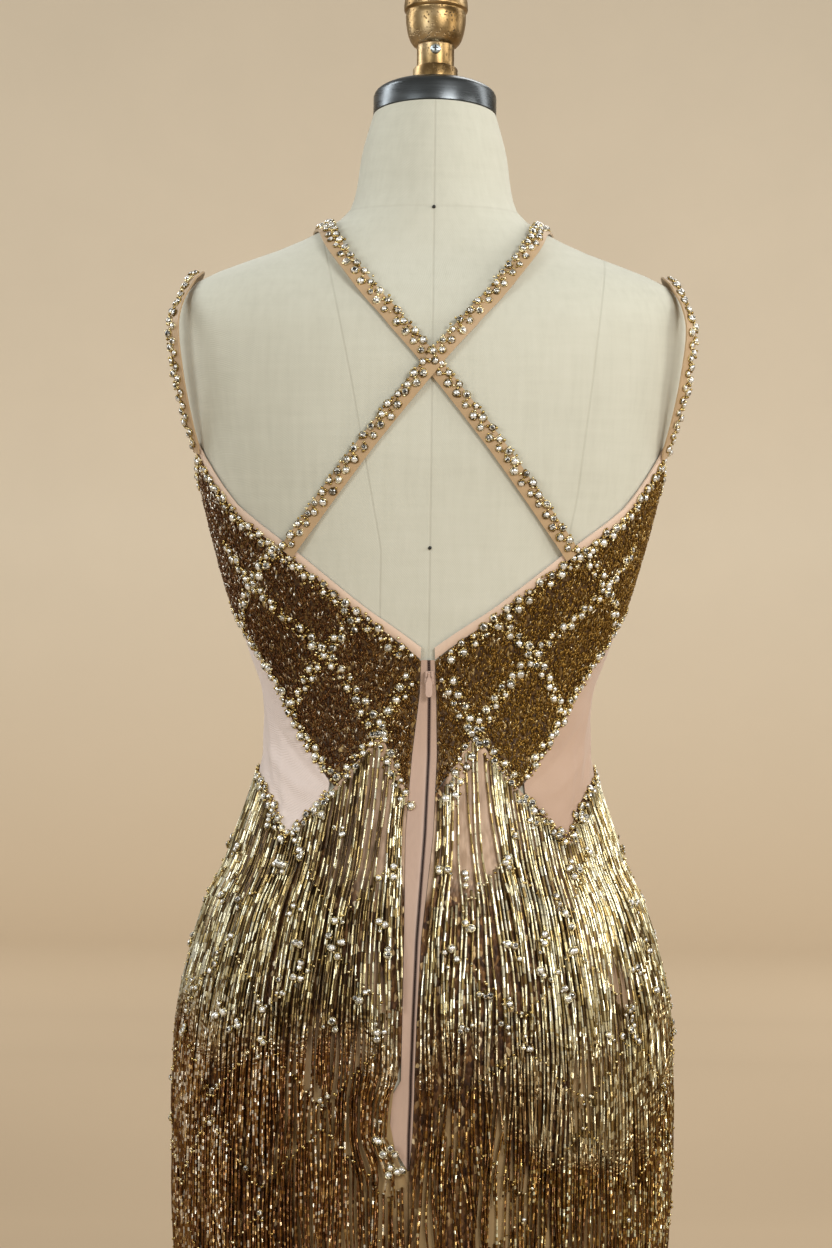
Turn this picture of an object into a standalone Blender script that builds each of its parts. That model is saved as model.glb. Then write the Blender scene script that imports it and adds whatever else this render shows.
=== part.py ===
"""Mermaid evening gown on a limbless dress form.

Metres, +Z up. The front of the gown faces -Y, its open back faces +Y and the wearer's left is +X.
The origin is on the floor, under the middle of the stand's base.
Angles go round the body in degrees from the centre back, positive towards the wearer's left.
"""

import math

import bmesh
import bpy
import numpy as np

MM = 0.001

# Body shape that the form and the gown share: mm
# height, half width, depth behind, depth in front, shift of the middle towards +Y, squareness
BODY_SECTIONS = (
    (12, 394, 388, 388, 0, 2.0),
    (100, 330, 325, 323, 0, 2.0),
    (200, 260, 257, 252, 0, 2.0),
    (300, 200, 200, 191, 0, 2.0),
    (400, 162, 163, 148, 0, 2.1),
    (480, 154, 147, 131, 0, 2.2),
    (560, 163, 140, 124, 0, 2.2),
    (640, 174, 133, 117, 0, 2.3),
    (700, 178, 129, 112, 0, 2.3),
    (760, 179, 127, 109, 0, 2.3),
    (810, 178, 127, 107, 0, 2.3),
    (846, 175, 125, 106, 0, 2.3),
    (883, 167, 120, 105, 0, 2.3),
    (920, 156, 110, 103, 0, 2.3),
    (950, 142, 99, 99, 0, 2.3),
    (975, 134, 89, 94, 0, 2.3),
    (1000, 126, 82, 89, 0, 2.3),
    (1040, 118, 76, 84, 0, 2.3),
    (1069, 119, 77, 86, 0, 2.3),
    (1107, 131, 82, 92, 0, 2.3),
    (1144, 145, 89, 98, 0, 2.3),
    (1181, 156, 95, 102, 0, 2.3),
    (1220, 166, 100, 104, 0, 2.3),
    (1256, 174, 103, 104, 0, 2.3),
    (1308, 186, 103, 97, 0, 2.3),
    (1345, 189, 99, 84, 0, 2.3),
    (1361, 187, 93, 73, 0, 2.3),
    (1377, 176, 84, 65, 0, 2.3),
    (1388, 154, 76, 60, 0, 2.2),
    (1401, 118, 69, 58, 0, 2.1),
    (1418, 82, 63, 58, -1, 2.0),
    (1432, 63, 60, 58, -2, 2.0),
    (1447, 58, 56, 56, -4, 2.0),
    (1475, 54, 52, 53, -8, 2.0),
    (1491, 50, 49, 50, -10, 2.0),
    (1505, 46, 46, 46, -12, 2.0),
)

# Bust on the front: the gown's cups are a little fuller than the form
BUST_SIDE = 88 * MM
BUST_HEIGHT = 1245 * MM
FORM_BUST = 24 * MM
GOWN_BUST = 30 * MM
BUST_SPREAD_X = 46 * MM
BUST_SPREAD_Z = 44 * MM
BUST_FADE = 2.5

# Flutes of the flared hem: how fast they deepen, how unevenly they stand and how much wider
# the hem is at the sides
FLUTES = 8
FLUTE_DEPTH = 18 * MM
FLUTE_TOP = 470 * MM
FLUTE_GROWTH = 1.4
FLUTE_UNEVEN = 0.6
FLUTE_SIDEWAYS = 0.15
HEM_HEIGHT = 12 * MM

# Cloth walls, measured out from the body shape
EASE = 1.2 * MM
CLOTH = 2.0 * MM
NET = 1.4 * MM
SEAM_GAP = 0.36 * MM
BINDING_WIDTH = 7 * MM
BINDING_CLOTH = 2.3 * MM

# Grid of a panel: degrees between columns, the share of that kept clear beside an outline's
# corner, rows, and the half angle of the seam at each side
COLUMN_STEP = 7.5
CORNER_ROOM = 0.35
BACK_ROWS = 7
FRONT_ROWS = 9
BINDING_ROWS = 2
NET_ROWS = 4
NET_STEP = 8
NET_SPAN = (33, 144)
SIDE_SEAM = math.degrees(SEAM_GAP / (160 * MM))

# Top edge of the gown: angle from the centre back in degrees, height in mm
TOP_EDGE = (
    (0, 1103),
    (4, 1108),
    (16.5, 1133),
    (26, 1154),
    (38, 1181),
    (45, 1194),
    (55, 1212),
    (66, 1240),
    (74, 1259),
    (82, 1247),
    (90, 1238),
    (102, 1242),
    (114, 1262),
    (125, 1277),
    (135, 1284),
    (146, 1300),
    (155, 1284),
    (163.5, 1256),
    (180, 1204),
)

# Lower edge of the beaded bodice: a peak each side of the zip, a low corner, then the side cut-out
BODICE_EDGE = (
    (0, 988),
    (16.5, 1047),
    (31, 1007),
    (45, 1038),
    (55, 1064),
    (66, 1099),
    (78, 1124),
    (90, 1133),
    (102, 1124),
    (114, 1099),
    (125, 1064),
    (135, 1038),
    (146, 1007),
    (163.5, 1047),
    (180, 988),
)

# Top edge of the skirt: it follows the bodice, then drops below the side cut-out
SKIRT_EDGE = (
    (0, 988),
    (16.5, 1047),
    (31, 1007),
    (45, 971),
    (55, 994),
    (66, 1008),
    (90, 1020),
    (114, 1008),
    (125, 994),
    (135, 971),
    (146, 1007),
    (163.5, 1047),
    (180, 988),
)

# Centre-back zip: height, place of the slot across the back, width of the tape left and right of it, mm
ZIP_LINE = (
    (1110, 0, 5, 4),
    (1075, -1, 7, 5),
    (1030, -1, 12, 6),
    (975, 1, 14, 6),
    (900, 6, 9, 3),
    (840, 8, 7.5, 2.5),
    (800, 9, 7, 2.5),
    (790, 9, 13, 2.5),
    (758, 10, 14, 2.5),
    (733, 10, 0.3, 0.3),
    (400, 4, 0.3, 0.3),
    (12, 0, 0.3, 0.3),
)
TAPE_ROWS = (1100, 1075, 1052, 1030, 1002, 975, 938, 900, 870, 840, 800, 790, 758)
TAPE_POINT = 736 * MM
TAPE_CLOTH = 1.5 * MM
FLAP_CORNER = 3 * MM
SLOT_GAP = 0.5 * MM
CENTRE_BACK = 4.5
CENTRE_FADE = 15.0

# Heights of the skirt's cross rows below its shaped top, mm
SKIRT_ROWS = (900, 862, 822, 790, 758, 733, 660, 580, 500, 425, 345, 265, 180, 95, 12)
SKIRT_TOP_ROWS = 4

# Fringe tiers: mean height of the zigzag heading, its rise and fall, distance off the cloth, mm,
# and the segments of a lock
FRINGE_TIERS = (
    (None, 0, 1.9, 2),
    (870, 24, 1.6, 2),
    (745, 24, 0.8, 2),
    (600, 24, 0.9, 2),
    (430, 20, 2.4, 5),
)
ZIGZAGS = 12
LOCKS_PER_TIER = 28
LOCK_WIDTH = 19 * MM
LOCK_THICK = 2.0 * MM
LOCK_STAND_OFF = 2.8 * MM
LOCK_FLARE_OFF = 5 * MM
LOCK_GAP = 4 * MM
HEADING_HEIGHT = 5 * MM
HEADING_THICK = 1.6 * MM
FRINGE_END = 24 * MM
FRINGE_OPENING = 10.0
FRINGE_JOIN = 0.6
FIRST_HEADING = 4 * MM
LOCK_CLEARANCE_SAMPLES = 5

# Straps: width and thickness of a stone-set band, and how far off the body its inner face lies
STRAP_WIDTH = 12 * MM
STRAP_THICK = 1.8 * MM
STRAP_LIFT = 1.6 * MM
STRAP_OVER_EDGE = 4.0 * MM
STRAP_EDGE_REACH = 20 * MM
STRAP_EDGE_HOLD = 1.6
OUTER_SAMPLES = 22
CROSS_SAMPLES = 28
CLEARING_ROUNDS = 6
SLOPE_STEP = 0.5 * MM

# Routes of the straps on the wearer's left, or from left to right: x, y, z in mm, back end first
OUTER_ROUTE = (
    (171, 31, 1251),
    (178, 41, 1275),
    (185, 50, 1308),
    (189, 49, 1342),
    (184, 33, 1364),
    (175, 6, 1383),
    (178, -20, 1369),
    (176, -42, 1342),
    (166, -64, 1306),
    (150, -80, 1272),
)
CROSS_ROUTE = (
    (103, 79, 1177),
    (58, 96, 1240),
    (0, 101, 1314),
    (-53, 88, 1375),
    (-74, 58, 1405),
    (-80, 20, 1418),
    (-84, -30, 1411),
    (-88, -66, 1372),
    (-89, -93, 1330),
    (-87, -118.5, 1284),
)
CROSS_OVER_LIFT = 2.5 * MM
CROSS_OVER_REACH = 26 * MM
CROSS_OVER_HOLD = 1.5

# Form, its cap and its finial
FORM_SIDES = 36
FORM_ROWS = (
    718, 760, 810, 850, 890, 920, 948, 975, 1005, 1040, 1075, 1110, 1150, 1190, 1222,
    1250, 1278, 1312, 1345, 1368, 1385, 1396, 1405, 1414, 1424, 1435, 1450, 1478, 1505,
)
NECK_LEAN = 9.5
NECK_LEAN_FROM = 1440 * MM
NECK_TOP = 1505 * MM
NECK_SHIFT = -12 * MM
REST_GAP = 0.3 * MM

# Turned profiles from the top middle, down the outer side, to the bottom middle: radius, height, mm
CAP_PROFILE = ((0, 27), (18, 26.5), (34, 22.8), (43, 18.7), (46, 15), (46, 0), (0, 0))
CAP_SIDES = 28
FINIAL_PROFILE = (
    (0, 86), (9, 84.4), (17, 79), (22, 70), (24, 58), (24, 55.5), (22.2, 53.4), (22.6, 50.9),
    (22, 43), (19, 34), (14.2, 27), (14, 10.6), (16.6, 9.4), (16.8, 0), (0, 0),
)
FINIAL_SIDES = 18
SCREW_RADIUS = 4 * MM
SCREW_HEIGHT = 21.5 * MM
SCREW_LENGTH = 2.4 * MM
SCREW_SIDES = 12
FINIAL_NECK = 14 * MM
POLE_RADIUS = 14
BASE_PROFILE = ((0, 19), (30, 19), (34, 16.5), (196, 12), (210, 4), (209, 0), (0, 0))
BASE_SIDES = 40
POLE_SIDES = 12

# Zip slider and its tab
SLIDER_HEIGHT = 1087 * MM
SLIDER_SIZE = (6.5 * MM, 2.3 * MM, 10 * MM)
SLIDER_BEVEL = 0.5 * MM
SLIDER_GAP = 0.5 * MM
LUG_THICK = 1.0 * MM
LUG_REACH = 3.2 * MM
LUG_HEIGHT = 4 * MM
LUG_ROOT = 0.5 * MM
PULL_BARREL_RADIUS = 0.9 * MM
PULL_BARREL_WIDTH = 2.4 * MM
PULL_CLEARANCE = 0.3 * MM
PULL_LENGTH = 17 * MM
PULL_NECK = 2.2 * MM
PULL_WIDTH = 4.8 * MM
PULL_THICK = 1.2 * MM
PULL_NECK_END = 3 * MM
PULL_SHOULDER = 7 * MM
PULL_FOOT_POINTS = 7
BARREL_SIDES = 10

# Finishes: colour, roughness, metallic
LINEN = ((0.70, 0.69, 0.58), 0.9, 0.0)
BRONZE_BEADS = ((0.22, 0.12, 0.04), 0.35, 0.6)
GOLD_LINING = ((0.42, 0.30, 0.16), 0.6, 0.2)
GOLD_STRINGS = ((0.45, 0.33, 0.15), 0.3, 0.7)
NUDE_NET = ((0.63, 0.45, 0.36), 0.8, 0.0)
NUDE_TAPE = ((0.58, 0.41, 0.31), 0.7, 0.0)
STONE_BAND = ((0.66, 0.56, 0.42), 0.4, 0.2)
DARK_STEEL = ((0.12, 0.13, 0.14), 0.3, 0.9)
AGED_BRASS = ((0.38, 0.26, 0.12), 0.4, 0.9)
BRIGHT_STEEL = ((0.62, 0.68, 0.70), 0.25, 0.9)


# Reading the tables


def smooth(x, xs, ys):
    """A curve through the points (xs, ys) with no overshoot, read at x."""
    xs, ys = np.asarray(xs, float), np.asarray(ys, float)
    chord = np.diff(ys) / np.diff(xs)
    slope = np.empty_like(ys)
    slope[1:-1] = np.where(chord[1:] * chord[:-1] > 0, 2 * chord[1:] * chord[:-1], 0)
    slope[1:-1] /= np.where(chord[1:] * chord[:-1] > 0, chord[1:] + chord[:-1], 1)
    slope[0], slope[-1] = chord[0], chord[-1]
    k = np.clip(np.searchsorted(xs, x) - 1, 0, len(xs) - 2)
    width = xs[k + 1] - xs[k]
    t = np.clip((x - xs[k]) / width, 0, 1)
    return (
        ys[k] * (1 + 2 * t) * (1 - t) ** 2
        + ys[k + 1] * t * t * (3 - 2 * t)
        + width * t * (1 - t) * (slope[k] * (1 - t) - slope[k + 1] * t)
    )


def section(height):
    """Half width, depth behind, depth in front, shift and squareness at a height."""
    table = np.array(BODY_SECTIONS, float)
    columns = [smooth(height / MM, table[:, 0], table[:, n]) for n in range(1, 6)]
    return [c * MM for c in columns[:4]] + [columns[4]]


def edge(table):
    """The height in metres of an outline at any angle; both sides are alike."""
    angles = np.array([row[0] for row in table], float)
    heights = np.array([row[1] for row in table], float) * MM
    return lambda angle: np.interp(np.abs(angle), angles, heights)


def zip_line(height):
    """Slot place and the tape widths left and right of it, at a height."""
    table = np.array(ZIP_LINE[::-1], float)
    return [np.interp(height / MM, table[:, 0], table[:, n]) * MM for n in (1, 2, 3)]


top_edge = edge(TOP_EDGE)
bodice_edge = edge(BODICE_EDGE)
skirt_edge = edge(SKIRT_EDGE)


# The body shape


def bust(x, height, depth):
    """How far a bust of this depth stands out at a place on the front."""
    side = (np.abs(x) - BUST_SIDE) / BUST_SPREAD_X
    rise = (height - BUST_HEIGHT) / BUST_SPREAD_Z
    return depth * np.exp(-0.5 * (side**2 + rise**2))


def flute(angle, height):
    """Soft waves of the flared hem, none above the knee, some closer together than others."""
    depth = np.clip((FLUTE_TOP - height) / (FLUTE_TOP - HEM_HEIGHT), 0, 1) ** FLUTE_GROWTH
    turn = np.radians(angle)
    wave = np.cos(FLUTES * turn + FLUTE_UNEVEN * np.sin(FLUTES / 2 * turn))
    wave -= FLUTE_SIDEWAYS * np.cos(2 * turn)
    return FLUTE_DEPTH * depth * wave


def surface(angle, height, out=0.0):
    """Points at an angle and a height, moved out square to the body's cross section."""
    angle, height, out = np.broadcast_arrays(
        np.asarray(angle, float), np.asarray(height, float), np.asarray(out, float)
    )
    half, back, front, shift, square = section(height)
    turn = np.radians(angle)
    s, c = np.sin(turn), np.cos(turn)
    depth = np.where(c >= 0, back, front)
    size = (np.abs(s) ** square + np.abs(c) ** square) ** (-1 / square)
    across, along = size * s, size * c
    normal_x = np.sign(s) * np.abs(across) ** (square - 1) / half
    normal_y = np.sign(c) * np.abs(along) ** (square - 1) / depth
    length = np.hypot(normal_x, normal_y)
    reach = out + flute(angle, height)
    x = across * half + reach * normal_x / length
    y = shift + along * depth + reach * normal_y / length
    cup = np.where(out > 0, GOWN_BUST, FORM_BUST)
    y = y - bust(across * half, height, cup) * np.clip(-c * BUST_FADE, 0, 1)
    return np.stack([x, y, height], axis=-1)


def angle_at(x, height, out=0.0):
    """The angle at which the back surface is x metres from the middle."""
    half, _, _, _, square = section(np.asarray(height, float))
    part = (np.abs(x) / (half + out)) ** square
    return np.sign(x) * np.degrees(np.arctan((part / (1 - part)) ** (1 / square)))


def body_level(points):
    """1 on the body's surface and more outside it, growing in proportion to the distance."""
    half, back, front, shift, square = section(points[:, 2])
    y = points[:, 1] - shift
    cup = bust(points[:, 0], points[:, 2], FORM_BUST) * np.clip(-y / front * BUST_FADE, 0, 1)
    y = np.where(y < 0, y + cup, y)
    depth = np.where(y >= 0, back, front)
    return (np.abs(points[:, 0] / half) ** square + np.abs(y / depth) ** square) ** (1 / square)


def body_distance(points):
    """Distance out from the body and the direction square to it, by central differences."""
    step = SLOPE_STEP
    slope = np.empty_like(points)
    for n in range(3):
        move = np.zeros(3)
        move[n] = step
        slope[:, n] = (body_level(points + move) - body_level(points - move)) / (2 * step)
    steepness = np.linalg.norm(slope, axis=1)
    return (body_level(points) - 1) / steepness, slope / steepness[:, None]


def pushed_clear(points, lift):
    """Points moved out of the body until each is at least its lift away."""
    for _ in range(CLEARING_ROUNDS):
        distance, outward = body_distance(points)
        points = points + outward * np.maximum(lift - distance, 0)[:, None]
    return points


# Building objects


def material(name, finish):
    colour, roughness, metallic = finish
    mat = bpy.data.materials.new(name)
    mat.use_nodes = True
    shader = mat.node_tree.nodes["Principled BSDF"]
    shader.inputs["Base Color"].default_value = (*colour, 1)
    shader.inputs["Roughness"].default_value = roughness
    shader.inputs["Metallic"].default_value = metallic
    mat.diffuse_color = (*colour, 1)
    return mat


def add_object(name, vertices, faces, finish, smooth_angle=40):
    mesh = bpy.data.meshes.new(name)
    mesh.from_pydata(np.asarray(vertices).tolist(), [], faces)
    mesh.materials.append(material(name, finish))
    mesh.shade_smooth()
    mesh.set_sharp_from_angle(angle=math.radians(smooth_angle))
    obj = bpy.data.objects.new(name, mesh)
    bpy.context.collection.objects.link(obj)
    return obj


def wall(name, angles, heights, inner, thick, finish):
    """A cloth panel on a grid of columns and rows: two skins joined round the edge.

    angles and heights are arrays of columns by rows. inner is how far out the inside lies.
    """
    columns, rows = angles.shape
    skins = np.stack([surface(angles, heights, inner), surface(angles, heights, inner + thick)])
    number = np.arange(2 * columns * rows).reshape(2, columns, rows)
    faces = []
    for i in range(columns - 1):
        for j in range(rows - 1):
            for skin in (0, 1):
                quad = [
                    number[skin, i, j], number[skin, i, j + 1],
                    number[skin, i + 1, j + 1], number[skin, i + 1, j],
                ]
                faces.append(quad if skin == 0 else quad[::-1])
    for i in range(columns - 1):
        for j, turned in ((0, False), (rows - 1, True)):
            quad = [number[0, i, j], number[0, i + 1, j], number[1, i + 1, j], number[1, i, j]]
            faces.append(quad[::-1] if turned else quad)
    for j in range(rows - 1):
        for i, turned in ((0, True), (columns - 1, False)):
            quad = [number[0, i, j], number[0, i, j + 1], number[1, i, j + 1], number[1, i, j]]
            faces.append(quad[::-1] if turned else quad)
    faces = [[int(v) for v in face] for face in faces]
    facing_out(add_object(name, skins.reshape(-1, 3), faces, finish))


def facing_out(obj):
    """Turn every face outwards."""
    mesh = bmesh.new()
    mesh.from_mesh(obj.data)
    bmesh.ops.recalc_face_normals(mesh, faces=mesh.faces)
    mesh.to_mesh(obj.data)
    mesh.free()


def turned(name, profile, sides, finish, location=(0, 0, 0), lean=0.0):
    """A piece turned about its own Z axis from a profile in mm."""
    points = [(radius * MM, 0, height * MM) for radius, height in profile]
    edges = [(n, n + 1) for n in range(len(points) - 1)]
    mesh = bpy.data.meshes.new(name)
    mesh.from_pydata(points, edges, [])
    mesh.materials.append(material(name, finish))
    obj = bpy.data.objects.new(name, mesh)
    bpy.context.collection.objects.link(obj)
    screw = obj.modifiers.new("Turn", "SCREW")
    screw.axis = "Z"
    screw.steps = screw.render_steps = sides
    screw.use_merge_vertices = True
    screw.merge_threshold = 0.00005
    screw.use_smooth_shade = True
    obj.location = location
    obj.rotation_euler.x = lean


def columns_between(first, last, step, *tables):
    """Column angles at an even step, with one at each corner of the outlines."""
    corners = [abs(row[0]) for table in tables for row in table if first < row[0] < last]
    even = np.linspace(first, last, max(2, round((last - first) / step) + 1))
    kept = [a for a in even if min([abs(a - c) for c in corners] + [step]) > step * CORNER_ROOM]
    return np.array(sorted(set(kept) | set(corners) | {first, last}))


def seam_shift(outline, angles, gap):
    """How far up or down an outline moves to leave a gap square to it."""
    step = 0.4  # degrees
    low, high = outline(angles - step), outline(angles + step)
    across = surface(angles + step, high)[:, :2] - surface(angles - step, low)[:, :2]
    return gap * np.sqrt(1 + ((high - low) / np.linalg.norm(across, axis=1)) ** 2)


def follow_zip(angles, heights, side):
    """Columns near the centre back moved so that the first lies along the zip tape or seam."""
    slot, left, right = zip_line(heights)
    x = slot + left + SEAM_GAP if side > 0 else slot - right - SEAM_GAP
    start = angle_at(x, heights, EASE)
    fade = np.clip(1 - (np.abs(angles) - CENTRE_BACK) / CENTRE_FADE, 0, 1)
    return angles + (start - side * CENTRE_BACK) * fade


# The dress form and its stand


def build_form():
    heights = np.array(FORM_ROWS) * MM
    angles = np.arange(FORM_SIDES) * 360 / FORM_SIDES
    points = surface(angles[None, :], heights[:, None])
    lean = np.clip((heights - NECK_LEAN_FROM) / (NECK_TOP - NECK_LEAN_FROM), 0, 1)
    tilt = (points[..., 1] - NECK_SHIFT) * math.tan(math.radians(NECK_LEAN))
    points[..., 2] += tilt * lean[:, None]
    rows = len(heights)
    faces = [list(range(FORM_SIDES)), list(range((rows - 1) * FORM_SIDES, rows * FORM_SIDES))]
    for j in range(rows - 1):
        for i in range(FORM_SIDES):
            k = (i + 1) % FORM_SIDES
            faces.append([
                j * FORM_SIDES + i, j * FORM_SIDES + k,
                (j + 1) * FORM_SIDES + k, (j + 1) * FORM_SIDES + i,
            ])
    facing_out(add_object("dress_form", points.reshape(-1, 3), faces, LINEN))


def along_neck(height, forward=0.0):
    """A point on the leaning axis of the neck, a height above its top."""
    lean = math.radians(NECK_LEAN)
    return (
        0,
        NECK_SHIFT - math.sin(lean) * height + math.cos(lean) * forward,
        NECK_TOP + math.cos(lean) * height + math.sin(lean) * forward,
    )


def build_finial():
    lean = math.radians(NECK_LEAN)
    turned("neck_cap", CAP_PROFILE, CAP_SIDES, DARK_STEEL, along_neck(REST_GAP), lean)
    seat = REST_GAP * 2 + CAP_PROFILE[0][1] * MM
    turned("finial", FINIAL_PROFILE, FINIAL_SIDES, AGED_BRASS, along_neck(seat), lean)
    head = SCREW_LENGTH / MM
    radius = SCREW_RADIUS / MM
    profile = ((0, head), (radius * 0.6, head), (radius, head * 0.6), (radius, 0), (0, 0))
    place = along_neck(seat + SCREW_HEIGHT, FINIAL_NECK + REST_GAP)
    turned("finial_screw", profile, SCREW_SIDES, BRIGHT_STEEL, place, lean - math.pi / 2)


def build_stand():
    turned("stand_base", BASE_PROFILE, BASE_SIDES, DARK_STEEL)
    foot = BASE_PROFILE[0][1] + REST_GAP / MM
    head = FORM_ROWS[0] - REST_GAP / MM
    profile = ((0, head), (POLE_RADIUS, head), (POLE_RADIUS, foot), (0, foot))
    turned("stand_pole", profile, POLE_SIDES, DARK_STEEL)


# The gown's panels


def panel(name, first, last, low, high, rows, finish, side=1, zip_edge=False,
          step=COLUMN_STEP, thick=CLOTH, tables=(), high_gap=SEAM_GAP):
    """A wall between two outlines, from one angle to another, on one side of the body."""
    nominal = columns_between(first, last, step, *tables)
    bottom = low(nominal) + seam_shift(low, nominal, SEAM_GAP)
    top = high(nominal) - seam_shift(high, nominal, high_gap)
    share = np.linspace(0, 1, rows)
    heights = bottom[:, None] * (1 - share) + top[:, None] * share
    angles = side * np.repeat(nominal[:, None], rows, axis=1)
    if zip_edge:
        angles = follow_zip(angles, heights, side)
    wall(name, angles, heights, EASE, thick, finish)


def binding_foot(angles):
    """Lower edge of the binding that runs along the top edge."""
    return top_edge(angles) - seam_shift(top_edge, angles, BINDING_WIDTH)


def build_bodice():
    tables = (TOP_EDGE, BODICE_EDGE)
    side_seam = 90 - SIDE_SEAM
    for side, word in ((1, "left"), (-1, "right")):
        panel("back_bodice_" + word, CENTRE_BACK, side_seam, bodice_edge, binding_foot,
              BACK_ROWS, BRONZE_BEADS, side, True, tables=tables)
        panel("back_binding_" + word, CENTRE_BACK, side_seam, binding_foot, top_edge,
              BINDING_ROWS, NUDE_TAPE, side, True, tables=(TOP_EDGE,), thick=BINDING_CLOTH,
              high_gap=0)
    front = 90 + SIDE_SEAM
    panel_across("front_bodice", front, bodice_edge, binding_foot, FRONT_ROWS, BRONZE_BEADS,
                 tables)
    panel_across("front_binding", front, binding_foot, top_edge, BINDING_ROWS, NUDE_TAPE, (TOP_EDGE,),
                 thick=BINDING_CLOTH, high_gap=0)


def panel_across(name, first, low, high, rows, finish, tables, thick=CLOTH, high_gap=SEAM_GAP):
    """A wall across the front, the same on both sides of the centre front."""
    half = columns_between(first, 180, COLUMN_STEP, *tables)
    nominal = np.concatenate([half, 360 - half[-2::-1]])
    mirror = 180 - np.abs(180 - nominal)
    bottom = low(mirror) + seam_shift(low, mirror, SEAM_GAP)
    top = high(mirror) - seam_shift(high, mirror, high_gap)
    share = np.linspace(0, 1, rows)
    heights = bottom[:, None] * (1 - share) + top[:, None] * share
    angles = np.repeat(nominal[:, None], rows, axis=1)
    wall(name, angles, heights, EASE, thick, finish)


def build_side_nets():
    """Net that fills the side cut-outs between the bodice and the skirt."""
    for side, word in ((1, "left"), (-1, "right")):
        panel("side_net_" + word, *NET_SPAN, skirt_edge, bodice_edge, NET_ROWS, NUDE_NET, side,
              step=NET_STEP, tables=(BODICE_EDGE, SKIRT_EDGE), thick=NET)


def skirt_heights(nominal):
    """Rows that start on the shaped top edge and settle to level rows below the hips."""
    top = skirt_edge(nominal) - seam_shift(skirt_edge, nominal, SEAM_GAP)
    level = np.array(SKIRT_ROWS) * MM
    share = np.linspace(0, 1, SKIRT_TOP_ROWS + 1)[:-1]
    upper = top[:, None] * (1 - share) + level[0] * share
    lower = np.repeat(level[None, :], len(nominal), axis=0)
    return np.concatenate([upper, lower], axis=1)


def build_skirt():
    for side, word in ((1, "left"), (-1, "right")):
        nominal = columns_between(CENTRE_BACK, 90 - SIDE_SEAM, COLUMN_STEP, SKIRT_EDGE)
        heights = skirt_heights(nominal)
        angles = side * np.repeat(nominal[:, None], heights.shape[1], axis=1)
        angles = follow_zip(angles, heights, side)
        wall("skirt_back_" + word, angles, heights, EASE, CLOTH, GOLD_LINING)
    half = columns_between(90 + SIDE_SEAM, 180, COLUMN_STEP, SKIRT_EDGE)
    nominal = np.concatenate([half, 360 - half[-2::-1]])
    heights = skirt_heights(180 - np.abs(180 - nominal))
    angles = np.repeat(nominal[:, None], heights.shape[1], axis=1)
    wall("skirt_front", angles, heights, EASE, CLOTH, GOLD_LINING)


# The zip


def build_zip_tapes():
    """Tape each side of the slot. The left one is wider and ends in a slanted flap."""
    heights = np.array(TAPE_ROWS + (TAPE_POINT / MM,)) * MM
    slot, left, right = zip_line(heights)
    for side, word, width in ((1, "left", left), (-1, "right", right)):
        share = np.array([0, 0.5, 1])[:, None]
        near = slot + side * SLOT_GAP / 2
        level = np.repeat(heights[None, :], 3, axis=0)
        if side > 0:
            width = width.copy()
            width[-1] = width[-2]
            flap_foot = np.array([TAPE_POINT, TAPE_POINT / 2 + heights[-2] / 2, heights[-2]])
            level[:, -1] = flap_foot
            level[:, -2] += FLAP_CORNER
        far = slot + side * width
        x = near * (1 - share) + far * share
        wall("zip_tape_" + word, angle_at(x, level, EASE), level, EASE, TAPE_CLOTH, NUDE_TAPE)


def box_mesh(mesh, size):
    """A box round the origin added to a bmesh."""
    made = bmesh.ops.create_cube(mesh, size=1)["verts"]
    bmesh.ops.scale(mesh, vec=size, verts=made)


def object_from(mesh, name, finish, location):
    data = bpy.data.meshes.new(name)
    mesh.to_mesh(data)
    mesh.free()
    data.materials.append(material(name, finish))
    obj = bpy.data.objects.new(name, data)
    obj.location = location
    bpy.context.collection.objects.link(obj)
    return obj


def join_solid(target, tool):
    """Union of two solids; the second is only a guide."""
    joined = target.modifiers.new("Join", "BOOLEAN")
    joined.operation = "UNION"
    joined.object = tool
    tool.hide_render = True
    tool.display_type = "WIRE"
    tool.parent = target


def build_slider():
    """Slider with two lugs, and the tab that hangs between them on the joint's axis."""
    width, depth, height = SLIDER_SIZE
    slot = float(zip_line(np.array(SLIDER_HEIGHT))[0])
    head = SLIDER_HEIGHT + height / 2
    back = surface(0, head, EASE + TAPE_CLOTH)[1] + SLIDER_GAP
    middle = back + depth / 2
    axis_height = head - LUG_HEIGHT / 2
    axis_depth = back + depth + LUG_REACH - LUG_HEIGHT / 2
    body = bmesh.new()
    box_mesh(body, (width, depth, height))
    bmesh.ops.bevel(body, geom=body.edges[:], offset=SLIDER_BEVEL, segments=1, affect="EDGES")
    slider = object_from(body, "zip_slider", NUDE_TAPE, (slot, middle, SLIDER_HEIGHT))
    lug_side = PULL_BARREL_WIDTH / 2 + PULL_CLEARANCE + LUG_THICK / 2
    for side in (1, -1):
        lug = bmesh.new()
        box_mesh(lug, (LUG_THICK, LUG_REACH + LUG_ROOT, LUG_HEIGHT))
        lug_depth = (depth + LUG_REACH - LUG_ROOT) / 2
        place = (side * lug_side, lug_depth, (height - LUG_HEIGHT) / 2)
        guide = object_from(lug, "lug_guide", NUDE_TAPE, place)
        join_solid(slider, guide)
    hinge = bpy.data.objects.new("zip_pull_axis", None)
    hinge.location = (slot, axis_depth, axis_height)
    bpy.context.collection.objects.link(hinge)
    build_pull(hinge)


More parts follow.
